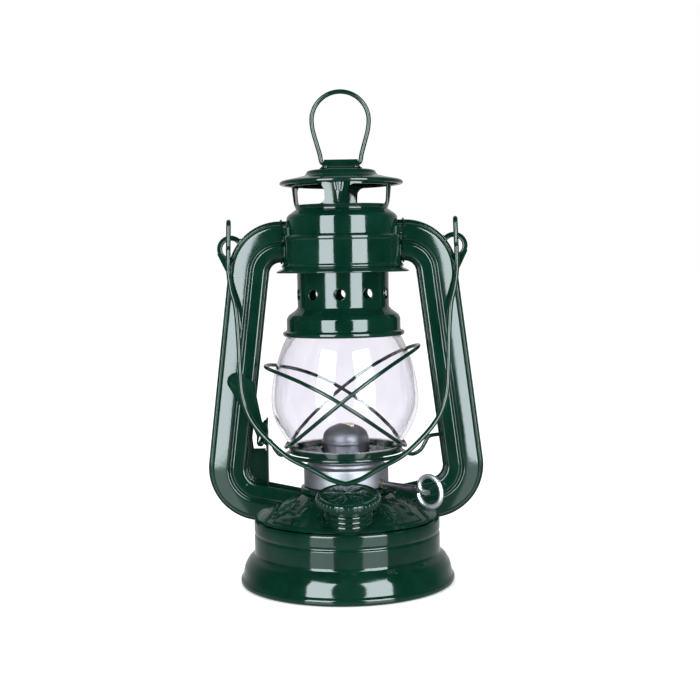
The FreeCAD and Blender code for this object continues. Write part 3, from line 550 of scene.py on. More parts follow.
def embossed_top():
    """Domed top of the tank, pressed with leaves."""
    low, high = box_mm("tank_dome")
    rim = high.x
    knots = [(rim - 0.1, low.z + 0.9), (45.9, 35.3), (42.4, 37.1), (36.5, 40.2), (30.5, 43.0), (26.0, 44.9),
             (22.6, 46.2), (20.4, 46.5)]
    line = np.array([p[:2] for p in path_through([(r, z, 0) for r, z in knots], 14)])
    around = 560
    angle = np.linspace(0, 2 * math.pi, around, endpoint=False)[:, None]
    radius, level = line[:, 0][None, :], line[:, 1][None, :]
    rise = leaf_relief(radius + 0 * angle, angle + 0 * radius + 0.24)
    slope = np.gradient(line, axis=0)
    slope /= np.linalg.norm(slope, axis=1, keepdims=True)
    out_r = radius + rise * slope[:, 1][None, :] * 0.6
    out_z = level + rise * -slope[:, 0][None, :]
    verts = np.stack([out_r * np.cos(angle), out_r * np.sin(angle), out_z], axis=2).reshape(-1, 3)
    count = line.shape[0]
    top = new_piece("embossed_top", verts.tolist(), skin(around, count, ring=True, loop=False))
    wall = top.modifiers.new("wall", "SOLIDIFY")
    wall.thickness = 0.6 * MM
    wall.offset = -1
    closed_outwards(top)
    if top.data.polygons[count // 2].normal.z < 0:
        top.data.flip_normals()
    return smooth(plain(top), sharp_degrees=60)


# --- filler ---
def filler_place():
    """From the filler's own axis to the lamp."""
    joint = JOINT["cap_turn"]
    axis = Vector(joint["axis"])
    turn = Vector((0, 0, 1)).rotation_difference(axis).to_matrix().to_4x4()
    return Matrix.Translation(Vector(joint["pos_m"])) @ turn


def placed(piece, matrix):
    """Set a piece's place into its mesh."""
    piece.data.transform(matrix)
    return piece


def threaded_neck():
    """Filler neck with three rolled rings that the cap's lugs run under."""
    radius, rise, pitch, start = 11.4, 0.6, 2.55, 3.75
    bottom, top, bore = 0.2, 13.9, 10.2
    outside = [(radius, bottom)]
    for i in range(3):
        middle = start + pitch * i
        for k in range(-6, 7):
            share = math.cos(k / 6 * math.pi / 2) ** 0.8
            outside.append((radius + rise * share, middle + k / 6 * 0.95))
    outside += [(radius, top - 0.3), (radius - 0.3, top)]
    neck = turning("threaded_neck", outside + [(bore, top), (bore, bottom)], 160)
    return placed(neck, filler_place())


def cap_relief(radius, angle):
    """Pressed rosette on the filler cap."""
    petals = 0.5 + 0.5 * np.cos(6 * angle + 0.5 * np.sin(radius * 0.6))
    veins = 0.5 + 0.5 * np.cos(24 * angle + radius * 1.3)
    band = np.clip((radius - 2.6) / 1.0, 0, 1) * np.clip((13.2 - radius) / 1.0, 0, 1)
    leaf = np.clip(petals * 1.9 - np.abs(radius - 7.6) / 5.2, 0, 1)
    ripple = 0.5 + 0.5 * np.cos(radius * 2.4 - 1.4 * np.cos(6 * angle))
    return band * leaf * (0.34 + 0.16 * veins * ripple) + 0.4 * np.exp(-(radius / 1.5) ** 2)


def pressed_cap():
    """Filler cap: rosette on top, deep rim for the fingers."""
    rim, low, high = 15.55, 12.4, 17.2
    profile = rounded([
        (rim - 3.6, low + 0.4, 0), (rim - 0.8, low, 0.8), (rim, low + 0.8, 0.8), (rim, high - 1.1, 1.2),
        (rim - 1.1, high, 0.9), (rim - 2.0, high - 0.35, 0.6), (rim - 2.8, high - 0.55, 0.6),
    ])
    steps = 34
    shares = [i / steps for i in range(1, steps + 1)]
    inner = [((rim - 2.8) * (1 - t), high - 0.55 + 0.55 * math.sin(t * math.pi / 2)) for t in shares]
    outside = np.array(profile + inner)
    outside[-1, 0] = 0.0
    around = 264
    angle = np.linspace(0, 2 * math.pi, around, endpoint=False)[:, None]
    radius, level = outside[:, 0][None, :], outside[:, 1][None, :]
    flat = (np.arange(len(outside)) >= len(profile))[None, :]
    rise = np.where(flat, cap_relief(radius + 0 * angle, angle + 0 * radius), 0)
    verts = np.stack([radius * np.cos(angle), radius * np.sin(angle), level + rise], axis=2)
    under = [(12.4, low + 0.4), (12.4, high - 1.5), (0, high - 1.5)]
    low_ring = np.stack([np.concatenate([r * np.cos(angle) for r, _ in under], 1),
                         np.concatenate([r * np.sin(angle) for r, _ in under], 1),
                         np.repeat([[z for _, z in under]], around, 0)], axis=2)
    grid = np.concatenate([low_ring[:, ::-1, :], verts], axis=1)
    faces = skin(around, grid.shape[1], ring=True, loop=False)
    cap = closed_outwards(new_piece("pressed_cap", grid.reshape(-1, 3).tolist(), faces))
    return placed(smooth(cap, sharp_degrees=50), filler_place())


def cap_grip():
    """Upright finger ribs round the filler cap."""
    rib = new_piece("cap_grip", *rounded_bar(15.2, 15.98, 0.78, 12.8, 16.4))
    ribs = grown(rib, ROUND, Count=44, Start=0.0, Material=PAINT["enamel"])
    return placed(smooth(ribs, sharp_degrees=60), filler_place())


def rounded_bar(r0, r1, width, z0, z1, steps=6):
    """Points and faces of one upright half-round rib on +X."""
    verts = []
    rows = [(z0, 0.55), (z0 + 0.35, 1.0), (z1 - 0.35, 1.0), (z1, 0.55)]
    for z, share in rows:
        for i in range(steps + 1):
            a = math.pi * i / steps
            verts.append((r0 + (r1 - r0) * share * math.sin(a), width / 2 * share * math.cos(a), z))
    count = steps + 1
    faces = [face[::-1] for face in skin(len(rows), count)]
    faces.append(tuple(range(count))[::-1])
    faces.append(tuple((len(rows) - 1) * count + i for i in range(count)))
    return verts, faces


# --- frame tubes ---
TOP_BEND = (31.5, 157.5, 16.1)      # x, z and radius in mm of the tube's bend at the chamber
LOW_BEND = (42.8, 58.9, 17.0)       # the same at the tank
FOOT_SLOPE = 12.0                   # degrees
FOOT_LENGTH = 22.0
FLANGE = 10.4
LOBE = 8.9
STAMPED = 0.7


def tube_line():
    """Centre line of the right-hand tube as (x, z, tangent angle), from the chamber to the tank."""
    run = math.hypot(LOW_BEND[0] - TOP_BEND[0], TOP_BEND[1] - LOW_BEND[1])
    lean = math.atan2(LOW_BEND[0] - TOP_BEND[0], TOP_BEND[1] - LOW_BEND[1])
    lean += math.asin((LOW_BEND[2] - TOP_BEND[2]) / run)
    foot = -math.pi / 2 + math.radians(FOOT_SLOPE)
    line = [(27.0, TOP_BEND[1] + TOP_BEND[2], math.pi / 2)]
    for (x, z, reach), start, end, steps in ((TOP_BEND, math.pi / 2, lean, 34), (LOW_BEND, lean, foot, 40)):
        for i in range(steps + 1):
            angle = start + (end - start) * i / steps
            line.append((x + reach * math.cos(angle), z + reach * math.sin(angle), angle))
        if reach == TOP_BEND[2]:
            out_x, out_z = line[-1][:2]
            in_x = LOW_BEND[0] + LOW_BEND[2] * math.cos(lean)
            in_z = LOW_BEND[1] + LOW_BEND[2] * math.sin(lean)
            line += [(out_x + (in_x - out_x) * k / 30, out_z + (in_z - out_z) * k / 30, lean)
                     for k in range(1, 30)]
    last_x, last_z, angle = line[-1]
    for k in range(1, 7):
        step = FOOT_LENGTH * k / 6
        line.append((last_x + step * math.sin(angle), last_z - step * math.cos(angle), angle))
    return line


def half_outline():
    """One stamped half, as (across, out): flange, narrow lobe, groove, wide lobe, flange."""
    corners = [(-FLANGE, 0.0, 0), (-FLANGE, STAMPED, 0.25), (-LOBE, STAMPED, 0.5), (-LOBE + 0.15, 6.6, 1.6),
               (-2.3, 7.05, 1.2), (-1.2, 5.2, 0.8), (0.1, 6.9, 1.2), (LOBE - 0.7, 5.9, 2.4),
               (LOBE, STAMPED, 0.5), (FLANGE, STAMPED, 0.25), (FLANGE, 0.0, 0)]
    return rounded(corners, 6)


def tube_half(name, hand, face):
    """Half of a frame tube: hand is +1 on the right, face is -1 at the front."""
    outer = half_outline()
    section = outer + beside(outer, -STAMPED)[::-1]

    line = tube_line()
    verts = []
    for x, z, angle in line:
        for u, v in section:
            out = max(v, 0.02)
            verts.append((hand * (x + u * math.cos(angle)), face * out, z + u * math.sin(angle)))
    faces = folded_bar(len(line), len(section))
    return smooth(closed_outwards(new_piece(name, verts, faces), FINE_POINT), sharp_degrees=50)


def ear_beads():
    """Raised beads round the holes of the bail's ears, on both faces."""
    hole_x, hole_z = box_mm("bail_ears")[1].x - 6.9, 170.4
    radius, face, roll = 4.85, 0.62, 0.55
    rings = []
    for hand in (-1, 1):
        for side in (-1, 1):
            points = [(x, side * face, z) for x, z in circle(hand * hole_x, hole_z, radius, 60)]
            rings.append(bent_wire("ring", points, roll, PAINT["enamel"], closed=True, step=0.5, sides=12))
    return smooth(joined("ear_beads", rings), sharp_degrees=80)


def bracket_tabs():
    """Ears of the lever's bracket: one beside the tube and one behind the cradle's hook."""
    ends = (1.02, 1.58)
    beside_tube = [(-49.6, 60.0), (-49.6, 76.8), (-48.0, 76.8), (-47.0, 68.6), (-41.0, 68.6), (-41.0, 60.0)]
    behind_hook = [(-39.5, 68.6), (-39.5, 84.2), (-41.8, 82.6), (-43.5, 79.8), (-44.1, 76.0), (-43.4, 72.8),
                   (-41.6, 70.6)]
    tabs = [prism("tab", outline, ends, "Y", FINE_POINT) for outline in (beside_tube, behind_hook)]
    return joined("bracket_tabs", tabs)


def lever_strip():
    """Pressed lift lever: round head at the rivet, tapering arm, slot for the cradle's hook."""
    low, high = box_mm("lift_lever")
    pivot = Vector(JOINT["lever_swing"]["pos_m"]) / MM
    head, hole, slot = 4.5, 2.0, 1.12
    arm = [(-46.9, 104.6), (-44.8, 101.4), (-44.6, 97.6), (-43.2, 90.0), (-41.9, 83.4), (-39.4, 82.0),
           (-38.9, 78.0), (-40.6, 73.0), (-42.0, 70.9), (-44.0, 70.9), (-44.9, 72.4), (-44.8, 76.4),
           (-46.4, 80.4), (-49.2, 85.8), (-53.2, 92.6), (-58.2, 101.2)]
    front, back = low.y + 0.02, high.y - 0.02
    outline = arc(pivot.x, pivot.z, head, 200, 52, 15) + arm
    plate = prism("lever_strip", outline, (front, back), "Y", FINE_POINT)
    through = (front - 2, back + 2)
    slot_line = arc(-41.25, 78.9, slot, -14, 166, 12) + arc(-43.05, 72.95, slot, 166, 346, 12)
    for loop in (circle(pivot.x, pivot.z, hole, 32), slot_line):
        plate = cut_out(plate, prism("punch", loop, through, "Y", FINE_POINT))
    return smooth(plate)


# --- chamber and chimney ---
def chamber_wall():
    """Air chamber: flared rim, two bands, two rolled beads and a coned top."""
    low, high = box_mm("air_chamber")
    rim, band, upper = high.x, 30.0, 28.0
    z0, top = low.z, high.z
    corners = [
        (rim - 0.9, z0 + 0.1, 0), (rim - 0.15, z0 + 0.15, 0.4), (rim - 0.1, z0 + 0.8, 0.5),
        (rim - 1.8, z0 + 1.7, 1.5),
        (band + 0.2, z0 + 2.5, 0.5), (band + 0.95, z0 + 3.1, 0.6), (band + 0.95, z0 + 3.9, 0.6),
        (band, z0 + 4.6, 0.5), (band, 174.1, 0.5), (band + 0.35, 174.7, 0.5), (band + 0.3, 175.9, 0.6),
        (band - 0.6, 176.5, 0.4), (upper + 0.05, 176.9, 0.5), (upper, 185.6, 1.4), (upper - 0.9, 186.9, 1.2),
        (23.7, top - 0.1, 0),
    ]
    return turned_sheet("chamber_wall", rounded(corners))


WINDOWS = 4                 # windows in the crown, and darts between them
VENTS = 10                  # round vents in the hood's neck
VENT_HEIGHT = 147.0         # mm
VENT_TURN = math.radians(-94)

def hood():
    """Globe hood: rolled lip, band, shoulder and a neck with round vents."""
    low, high = box_mm("globe_hood")
    lip, band, neck = high.x, 28.9, 23.2
    z0 = low.z
    corners = [
        (lip - 1.6, z0 + 0.1, 0), (lip - 0.5, z0 + 0.2, 0.5), (lip, z0 + 1.1, 0.7),
        (lip - 0.1, z0 + 2.3, 0.8),
        (band + 0.3, z0 + 2.9, 0.5), (band, z0 + 3.7, 0.6), (band, 134.6, 1.6), (band - 1.1, 136.6, 1.8),
        (neck + 1.3, 138.9, 1.4), (neck, 140.4, 1.6), (neck, high.z, 0),
    ]
    body = turned_sheet("hood", rounded(corners, 7))
    punch = prism("punch", circle(0, VENT_HEIGHT, 2.9, 40), (18.0, 30.0))
    punches = grown(punch, ROUND, Count=VENTS, Start=VENT_TURN, Material=PAINT["enamel"])
    return smooth(cut_out(body, punches))


def vent_rims():
    """Small rolled rims round the vents."""
    neck, radius, roll = 23.05, 2.95, 0.33
    points = [(math.sqrt(neck ** 2 - y ** 2), y, z) for z, y in circle(VENT_HEIGHT, 0, radius, 40)]
    ring = bent_wire("vent_rims", points, roll, PAINT["enamel"], closed=True, step=0.45, sides=10)
    rims = grown(ring, ROUND, Count=VENTS, Start=VENT_TURN, Material=PAINT["enamel"])
    return smooth(rims, sharp_degrees=80)


def window_punch(low, high, half_width, reach, corner=2.4):
    """Rounded oblong punch pointing out along +X."""
    side = half_width - corner
    outline = []
    for cx, cz, start in ((side, high - corner, 0), (-side, high - corner, 90), (-side, low + corner, 180),
                          (side, low + corner, 270)):
        outline += arc(cx, cz, corner, start, start + 90, 6)
    return prism("window", outline, reach)


def crown_wall():
    """Crown under the cap, open in four rounded windows."""
    low, high = box_mm("crown")
    base, top = 23.2, high.x
    corners = [(base, low.z, 0), (base + 0.1, low.z + 0.5, 0.2), (top - 0.8, low.z + 1.7, 1.0),
               (top, high.z, 0)]
    body = turned_sheet("crown_wall", rounded(corners, 8))
    half_post = math.radians(14.5)
    for vert in body.data.vertices:
        x, y, z = vert.co / MM
        turn = math.atan2(y, x) - math.radians(-96)
        aside = (turn + math.pi / 4) % (math.pi / 2) - math.pi / 4
        rise = min(1.0, max(0.0, (z - low.z - 1.2) / 2.4))
        if abs(aside) < half_post:
            flat = math.cos(half_post) / math.cos(aside)
            factor = 1 - rise * (1 - flat)
            vert.co = Vector((x * factor, y * factor, z)) * MM
    punch = window_punch(low.z + 1.9, high.z - 1.1, 12.6, (15.0, 30.0), 3.0)
    windows = grown(punch, ROUND, Count=WINDOWS, Start=math.radians(39), Material=PAINT["enamel"])
    return smooth(cut_out(body, windows))


def crown_darts():
    """Pressed darts, one on each post between the windows."""
    top = box_mm("crown")[1]
    radius = top.x - 0.25
    across = (-1, -0.6, -0.25, 0, 0.25, 0.6, 1)
    rows = 12
    verts = []
    for i in range(rows + 1):
        t = i / rows
        z = top.z - 0.4 - t * 10.6
        half = 2.5 * (1 - t) ** 0.8 + 0.12
        swell = 0.95 * (1 - t) ** 0.5
        drop = 0.75 * t
        for share in across:
            crease = swell * (abs(share) if abs(share) < 0.7 else (1 - abs(share)) * 2.0)
            verts.append((radius - drop + crease - 0.25 - 0.8 * (i == rows), half * share, z))
    dart = new_piece("crown_darts", verts, skin(rows + 1, len(across), loop=False))
    wall = dart.modifiers.new("wall", "SOLIDIFY")
    wall.thickness = 0.5 * MM
    wall.offset = 0
    dart = closed_outwards(plain(dart))
    darts = grown(dart, ROUND, Count=WINDOWS, Start=math.radians(-93), Material=PAINT["enamel"])
    return smooth(darts, sharp_degrees=50)


def smoke_cap():
    """Chimney cap: curled brim, low cone and a stepped crown."""
    low, high = box_mm("cap")
    brim = high.x
    z0, top = low.z, high.z
    corners = [
        (brim - 2.6, z0 + 0.5, 0), (brim - 1.2, z0 + 0.05, 0.8), (brim - 0.05, z0 + 0.5, 0.8),
        (brim - 0.1, z0 + 1.8, 1.0), (brim - 1.6, z0 + 2.5, 1.6), (24.0, z0 + 3.6, 6.0),
        (18.7, z0 + 4.9, 1.6), (17.7, z0 + 6.0, 0.7), (17.3, z0 + 7.0, 0.9), (16.2, z0 + 7.45, 1.2),
        (9.0, top - 0.1, 8.0), (0.0, top, 0),
    ]
    return turned_sheet("smoke_cap", rounded(corners, 6))


def strap():
    """Strap riveted to the cap: two feet, two leaning cheeks and the roll that holds the ring."""
    roll = 2.0
    roll_z = box_mm("cap_strap")[1].z - roll
    base = box_mm("cap")[1].z + 0.15
    leg = [(10.3, base + 0.15), (6.6, base + 0.2), (5.2, base + 0.7), (2.9, roll_z - 1.2),
           (2.2, roll_z - 0.3)]
    section = leg + arc(0, roll_z, roll, 10, 163, 9) + [(-y, z) for y, z in leg[::-1]]
    loop = section + beside(section, 0.62)[::-1]
    columns = 14
    verts = []
    for k in range(columns + 1):
        share = 2 * k / columns - 1
        for y, z in loop:
            rise = max(0.0, min(1.0, (z - base) / (roll_z - base)))
            half = 10.7 - 2.2 * rise ** 0.8
            verts.append((half * share, y, z))
    faces = folded_bar(columns + 1, len(loop))
    return smooth(closed_outwards(new_piece("strap", verts, faces)), sharp_degrees=40)


def domed_rivet(name, spot, radius, rise, direction):
    """Round-headed rivet standing on a surface."""
    outline = [(0, -0.3), (radius, -0.3)]
    outline += [(radius * math.cos(a), rise * math.sin(a)) for a in np.linspace(0, math.pi / 2, 9)]
    head = turning(name, outline[:-1] + [(0, rise)], 36)
    turn = Vector((0, 0, 1)).rotation_difference(Vector(direction)).to_matrix().to_4x4()
    return placed(head, Matrix.Translation(Vector(spot) * MM) @ turn)


def strap_rivets():
    """Four round-headed rivets through the strap's feet."""
    level = box_mm("strap_rivets")[0].z
    spots = [(x, y, level) for x in (-7.6, 7.6) for y in (-8.8, 8.8)]
    heads = [domed_rivet("rivet", spot, 1.5, 0.9, (0, 0, 1)) for spot in spots]
    return smooth(joined("rivet_heads", heads), sharp_degrees=40)


# --- wires ---
def lift_ring():
    """Wire ring that hangs the lantern or lifts the chimney."""
    pivot = Vector(JOINT["ring_swing"]["pos_m"]) / MM
    high = box_mm("lift_ring")[1]
    wire = 1.15
    half = high.x - wire
    arch = [(x, 0, z) for x, z in arc(0, high.z - wire - half, half, 0, 180, 12)]
    leg = [(3.4, 0, pivot.z), (8.6, 0, pivot.z), (9.9, 0, pivot.z + 1.2), (10.5, 0, pivot.z + 4.4),
           (11.9, 0, pivot.z + 9.4), (13.8, 0, pivot.z + 16.4)]
    points = leg + arch + [(-x, y, z) for x, y, z in leg[::-1]]
    return bent_wire("ring_wire", path_through(points, 8), wire, PAINT["wire_enamel"])


def bail_wire():
    """Carrying bail: long eyes on the ears, sides that close in, and a point in the middle."""
    pivot = Vector(JOINT["bail_swing"]["pos_m"]) / MM
    wire, ear, reach = 1.2, 57.5, 126.0
    up, down, side = 8.4, 6.2, 3.2
    eye = []
    for a in range(-60, 271, 30):
        angle = math.radians(a)
        z = (up - side if a in range(0, 181) else -(down - side)) + side * math.sin(angle)
        aside = side * math.cos(angle)
        eye.append((ear + aside * EYE_TURN, aside, z))
    drop = [(57.4, 12.0), (57.2, 19.0), (55.8, 28.0), (53.6, 37.0), (52.1, 53.0), (51.2, 69.0), (49.9, 82.0),
            (46.0, 93.2), (38.4, 103.2), (27.6, 113.0), (16.2, 119.0), (8.4, 123.6), (3.6, reach - 0.6)]
    right = eye[:-1] + [(ear, -0.6, -down - 0.4)] + [(x, 0.0, -z) for x, z in drop]
    points = right + [(0, 0, -reach - 0.3)] + [(-x, y, z) for x, y, z in right[::-1]]
    lean = Matrix.Rotation(-math.radians(BAIL_LEAN), 4, "X")
    line = [lean @ p + pivot for p in path_through(points, 8)]
    return bent_wire("bail_wire", line, wire, PAINT["wire_enamel"])


def globe_knots():
    """Outside of the glass as (radius, height), from the plate to the hood."""
    low, high = box_mm("globe")
    widest = high.x
    return [(27.2, low.z), (29.6, 72.4), (32.7, 77.4), (35.2, 82.2), (36.9, 87.6), (widest, 93.2),
            (37.1, 99.4), (35.9, 106.2), (34.0, 113.4), (31.8, 119.6), (29.6, 124.4), (28.1, 127.4),
            (27.2, 130.6), (26.9, high.z)]


def glass_globe():
    """Blown globe with fire-polished ends."""
    outside = [p[:2] for p in path_through([(r, z, 0) for r, z in globe_knots()], 5)]
    inside = beside(outside, 1.5)
    foot = [((outside[0][0] + inside[0][0]) / 2 + 0.1, outside[0][1] - 0.02)]
    lip = [((outside[-1][0] + inside[-1][0]) / 2, outside[-1][1])]
    return smooth(turning("glass_globe", outside + lip + inside[::-1] + foot, 200), sharp_degrees=80)


def guard(name, low, cross, high):
    """Guard loop round the glass: (x, z) of both ends, and the height where it crosses x = 0."""
    radii = globe_knots()
    wire = 0.95
    levels = [z for _, z in radii]
    widths = [r for r, _ in radii]
    points = []
    for i in range(96):
        angle = 2 * math.pi * i / 96
        share = (1 - math.cos(angle)) / 2
        x = low[0] + (high[0] - low[0]) * share
        z = low[1] * (1 - share) ** 2 + high[1] * share ** 2
        z += (4 * cross - low[1] - high[1]) * share * (1 - share)
        snug = float(np.interp(z, levels, widths)) + 2.1
        reach = max(snug, abs(low[0]) + (abs(high[0]) - abs(low[0])) * share)
        points.append((x, -math.copysign(math.sqrt(max(reach ** 2 - x ** 2, 0)), math.sin(angle)), z))
    return bent_wire(name, points, wire, PAINT["wire_enamel"], closed=True)


def cradle():
    """Ring under the globe plate with an arm to each side tube."""
    radius, level, wire = 29.9, 65.6, 1.0
    hook = box_mm("cradle_wire")[1].z - wire - 1.6
    ring_line = [(x, y, level) for x, y in circle(0, 0, radius, 90)]
    ring = bent_wire("ring", ring_line, wire, PAINT["wire_enamel"], closed=True)
    right = [(radius, 0, level), (34.2, 0, 64.5), (38.2, 0, 66.6), (40.6, 0, 70.4), (42.8, 0, 73.6),
             (48.7, 0, 74.6)]
    left = [(-radius, 0, level), (-33.6, 0, 65.2), (-36.2, 0, 68.2), (-37.6, 0, 71.2), (-39.2, 0, hook),
            (-41.6, 0, hook), (-43.0, -1.3, hook), (-43.0, -4.0, hook), (-43.0, -10.3, hook)]
    arms = [bent_wire("arm", path_through(points, 8), wire, PAINT["wire_enamel"]) for points in (right, left)]
    return joined("cradle", [ring] + arms)


def knob():
    """Bright wire of the wick adjuster, bent to an open ring with a curled end."""
    joint = JOINT["wick_turn"]
    axis = Vector(joint["axis"])
    start = Vector(joint["pos_m"]) / MM
    centre_x = (Vector((40.2, -38.0, 0)) - Vector((start.x, start.y, 0))).dot(axis)
    long_half, high_half, wire = 7.9, 7.5, 1.15
    sweep = [(-176, 1.0)] + [(degrees, 1.0) for degrees in range(-150, 121, 30)]
    sweep += [(143, 0.98), (162, 0.87), (180, 0.66), (198, 0.36), (220, 0.10)]
    points = [start + axis * (centre_x - long_half - 3.2), start + axis * (centre_x - long_half - 1.6)]
    for degrees, reach in sweep:
        a = math.radians(degrees)
        along = centre_x + long_half * math.cos(a) * reach
        points.append(start + axis * along + Vector((0, 0, high_half * math.sin(a) * reach)))
    return bent_wire("knob_wire", path_through(points, 8), wire, PAINT["zinc_wire"])


# --- burner ---
def burner_cup():
    """Burner cup under the globe plate."""
    low, high = box_mm("burner_body")
    corners = [
        (20.6, low.z, 0), (21.6, low.z + 0.4, 0.4), (21.6, 57.4, 0), (21.6, 59.6, 2.2), (18.6, 60.0, 0.5),
        (18.3, 61.4, 0.7), (19.1, 62.5, 0.7), (19.2, 64.2, 1.2), (20.8, 65.5, 1.0), (22.0, high.z - 0.5, 0),
    ]
    return turned_sheet("burner_cup", rounded(corners, 7), BURNER_SHEET)


def burner_hood():
    """Domed cone over the wick, slotted for the flame."""
    low, high = box_mm("burner_cone")
    seam = 72.0
    corners = [(13.0, low.z + 0.5, 0), (12.0, low.z + 1.7, 0.8), (12.0, seam - 1.1, 0.4),
               (12.4, seam - 0.3, 0.4), (12.4, seam + 0.4, 0.4), (11.8, seam + 1.0, 0.4)]
    rise = high.z - seam - 1.2
    dome = [(11.75 * math.cos(a), seam + 1.2 + rise * math.sin(a))
            for a in np.linspace(0.05, math.pi / 2, 22)]
    profile = rounded(corners) + dome[:-1] + [(0.0, high.z)]
    body = turned_sheet("burner_hood", profile, BURNER_SHEET, 160)
    angle = math.atan2(JOINT["wick_turn"]["axis"][1], JOINT["wick_turn"]["axis"][0])
    punch = window_punch(-1.75, 1.75, 6.5, (74.2, 90.0), 1.6)
    on_end = Matrix(((0, 1, 0, 0), (0, 0, 1, 0), (1, 0, 0, 0), (0, 0, 0, 1)))
    placed(punch, Matrix.Rotation(angle, 4, "Z") @ on_end)
    return smooth(cut_out(body, closed_outwards(punch)))


def wick_strip():
    """Flat wick, its trimmed top a little frayed."""
    joint = JOINT["wick_turn"]
    angle = math.atan2(joint["axis"][1], joint["axis"][0])
    low, high = box_mm("wick")
    width, thick = 11.0, 2.0
    columns, rows = 44, 120
    verts = []
    across = [-0.5 + i / columns for i in range(columns + 1)]
    ring = [(u, -0.5) for u in across] + [(-u, 0.5) for u in across]
    for j in range(rows + 1):
        z = low.z + (high.z - 0.15 - low.z) * j / rows
        for u, v in ring:
            x = u * width * 0.98
            top = high.z - 0.1 - (0.5 - u)
            weave = 0.10 * math.sin(u * columns * 1.6) * math.sin(z * 3.6)
            fray = 0.16 * math.sin(x * 9.0) + 0.10 * math.sin(x * 23.0 + v * 4)
            level = min(z, top + fray * (1 if j > rows - 4 else 0)) if z > top - 0.6 else z
            verts.append((x, v * thick * 0.86 + math.copysign(weave, v) * 0.5, level))
    faces = folded_bar(rows + 1, len(ring))
    strip = closed_outwards(new_piece("wick_strip", verts, faces))
    return placed(smooth(strip, sharp_degrees=50), Matrix.Rotation(angle, 4, "Z"))


# --- studio ---
def floor():
    """Plain white sweep of the table."""
    bpy.ops.mesh.primitive_grid_add(x_subdivisions=8, y_subdivisions=8, size=24)
    table = bpy.context.object
    table.name = "floor"
    table.visible_glossy = False
    recipe = Recipe("floor_white", Specular_IOR_Level=0.0, Roughness=1.0, Emission_Strength=0.30)
    recipe.surface.inputs["Emission Color"].default_value = (1, 1, 1, 1)
    colour = recipe.blend(recipe.noise(400, 2), (0.93, 0.93, 0.93, 1), (0.95, 0.95, 0.95, 1))
    table.data.materials.append(recipe.feed(Base_Color=colour))


SOFTBOX_TINT = (0.86, 0.97, 1.0)


def strip_light(name, azimuth, elevation, distance, width, height, radiance):
    """Softbox aimed at the middle of the lantern."""
    data = bpy.data.lights.new(name, "AREA")
    data.shape = "RECTANGLE"
    data.size = width
    data.size_y = height
    data.energy = radiance * math.pi * width * height
    data.color = SOFTBOX_TINT
    light = bpy.data.objects.new(name, data)
    bpy.context.scene.collection.objects.link(light)
    a, e = math.radians(azimuth), math.radians(elevation)
    aim = Vector((0, 0, 0.12))
    towards = Vector((math.sin(a) * math.cos(e), -math.cos(a) * math.cos(e), math.sin(e)))
    light.location = aim + towards * distance
    light.rotation_euler = (aim - light.location).to_track_quat("-Z", "Y").to_euler()
    light.visible_camera = False
    light.visible_diffuse = False
    return light


def studio():
    """White air round the lantern, which reflections see as a dim room, and the softboxes in it."""
    world = bpy.data.worlds.new("studio")
    bpy.context.scene.world = world
    air = Shader(world)
    around = air.node("ShaderNodeTexCoord", {}, output="Generated")
    wall = rise_along(air, around, "Y", (0.10, 0.95, 0.02, 0.75))
    table = rise_along(air, around, "Z", (-0.09, -0.25, 0.0, 0.75))
    both = air.node("ShaderNodeMath", {0: wall, 1: table}, {"operation": "MAXIMUM"})
    white = air.node("ShaderNodeBackground", {"Color": (1, 1, 1, 1), "Strength": 1.0})
    room = air.node("ShaderNodeBackground", {"Strength": both})
    glossy = air.node("ShaderNodeLightPath", {}, output="Is Glossy Ray")
    seen = air.node("ShaderNodeMixShader", {"Fac": glossy, 1: white, 2: room})
    air.node("ShaderNodeOutputWorld", {"Surface": seen})
    for name, azimuth, width in (("left", -30.5, 0.62), ("right", 33.5, 0.66)):
        strip_light(name + "_strip", azimuth, 15, 1.25, width, 1.15, 29.0)
        strip_light(name + "_low_strip", azimuth, -22, 1.25, width, 0.60, 4.2)
    for name, azimuth, elevation, radiance in (("key", -35, 40, 1.6), ("fill", 40, 30, 1.0)):
        soft = strip_light(name, azimuth, elevation, 1.5, 1.0, 1.0, radiance)
        soft.visible_diffuse = True
        soft.visible_glossy = False


def rise_along(air, around, axis, limits):
    """Brightness that rises smoothly along one direction, from two levels to two brightnesses."""
    level = air.node("ShaderNodeSeparateXYZ", {"Vector": around}, output=axis)
    inputs = dict(zip(("From Min", "From Max", "To Min", "To Max"), limits))
    return air.node("ShaderNodeMapRange", {"Value": level, **inputs}, {"interpolation_type": "SMOOTHSTEP"})


LENS = 66.3                 # mm
EYE_PLACE = (0.0030, -0.654, 0.1629)
LOOK_DOWN = 3.9             # degrees
LOOK_ROLL = -0.98           # degrees


def camera():
    """Level view of the front from a little above the middle."""
    data = bpy.data.cameras.new("camera")
    data.sensor_width = 36.0
    data.lens = LENS
    data.clip_start = 0.01
    data.clip_end = 60
    eye = bpy.data.objects.new("camera", data)
    bpy.context.scene.collection.objects.link(eye)
    eye.location = EYE_PLACE
    tilt = Matrix.Rotation(math.radians(90 - LOOK_DOWN), 4, "X")
    roll = Matrix.Rotation(math.radians(LOOK_ROLL), 4, "Z")
    eye.rotation_euler = (tilt @ roll).to_euler()
    bpy.context.scene.camera = eye
    bpy.context.scene.view_settings.view_transform = "Standard"


# --- assembly ---
def finished(piece, paint, *nodes, body=None):
    """Give a piece its paint and its body, and hide the CAD nodes that it stands for."""
    piece.data.materials.clear()
    piece.data.materials.append(PAINT[paint])
    if nodes:
        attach(piece, BODY_OF[nodes[0]])
        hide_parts(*nodes)
    else:
        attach(piece, body)


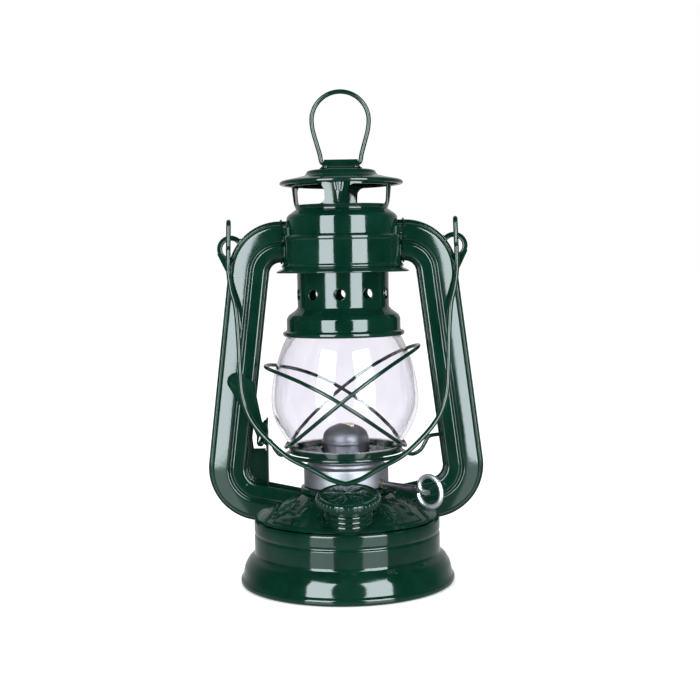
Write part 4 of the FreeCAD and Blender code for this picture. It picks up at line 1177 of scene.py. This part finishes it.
BAIL_LEAN = 19.2            # degrees, the bail hangs in front of the tank
EYE_TURN = 0.10             # how far the bail's eyes are turned towards the front
WIRE = wire_tree()
ROUND = round_tree()
PAINT = {
    "enamel": paint_enamel("green_enamel"),
    "worn_enamel": paint_enamel("worn_green_enamel", chips=0.7),
    "wire_enamel": paint_enamel("wire_enamel", 8.0, 0.003),
    "galvanised": paint_bare_metal("galvanised_sheet", (0.22, 0.215, 0.235), 0.50),
    "dark_steel": paint_bare_metal("dark_steel", (0.16, 0.16, 0.17), 0.40, (1, 1, 1)),
    "zinc_wire": paint_bare_metal("bright_zinc", (0.46, 0.47, 0.49), 0.42, (1, 1, 1), 0.4),
    "brass": paint_bare_metal("sprocket_brass", (0.60, 0.42, 0.16), 0.35, (1, 1, 1)),
    "glass": paint_glass(),
    "cotton": paint_cotton(),
    "rubber": paint_rubber(),
}


def paint_frame():
    """Materials of the CAD nodes that show as they are."""
    wires = {"cradle_wire", "guard_wire_left", "guard_wire_right", "bail", "lift_ring"}
    for name, node in frame["nodes"].items():
        material = PAINT["wire_enamel"] if name in wires else PAINT[SLOT_OF[name]]
        node.data.materials.clear()
        node.data.materials.append(material)


def build():
    finished(tank_side(), "enamel", "tank_shell")
    finished(embossed_top(), "enamel", "tank_dome")
    finished(threaded_neck(), "enamel", "filler_neck")
    finished(pressed_cap(), "enamel", "filler_cap")
    finished(cap_grip(), "enamel", body="filler_cap")
    for side, hand in (("left", -1), ("right", 1)):
        for half, face in (("front", -1), ("back", 1)):
            stamping = tube_half(f"{side}_stamping_{half}", hand, face)
            finished(stamping, "worn_enamel", f"{side}_tube_{half}")
    finished(lever_strip(), "enamel", "lift_lever")
    finished(ear_beads(), "enamel", body="tank_and_frame")
    finished(bracket_tabs(), "enamel", body="tank_and_frame")
    finished(chamber_wall(), "enamel", "air_chamber")
    finished(hood(), "enamel", "globe_hood")
    finished(vent_rims(), "enamel", body="chimney")
    finished(crown_wall(), "enamel", "crown")
    finished(crown_darts(), "enamel", body="chimney")
    finished(smoke_cap(), "enamel", "cap")
    finished(strap(), "enamel", "cap_strap")
    finished(strap_rivets(), "enamel", "strap_rivets")
    finished(lift_ring(), "wire_enamel", "lift_ring")
    finished(bail_wire(), "wire_enamel", "bail")
    finished(glass_globe(), "glass", "globe")
    finished(guard("guard_right", (-30.6, 69.4), 99.5, (38.0, 120.2)), "wire_enamel", "guard_wire_right")
    finished(guard("guard_left", (30.6, 69.4), 96.9, (-40.2, 110.9)), "wire_enamel", "guard_wire_left")
    finished(cradle(), "wire_enamel", "cradle_wire")
    finished(knob(), "zinc_wire", "wick_knob")
    finished(burner_cup(), "galvanised", "burner_body")
    finished(burner_hood(), "galvanised", "burner_cone")
    finished(wick_strip(), "cotton", "wick")


paint_frame()
build()
floor()
studio()
camera()
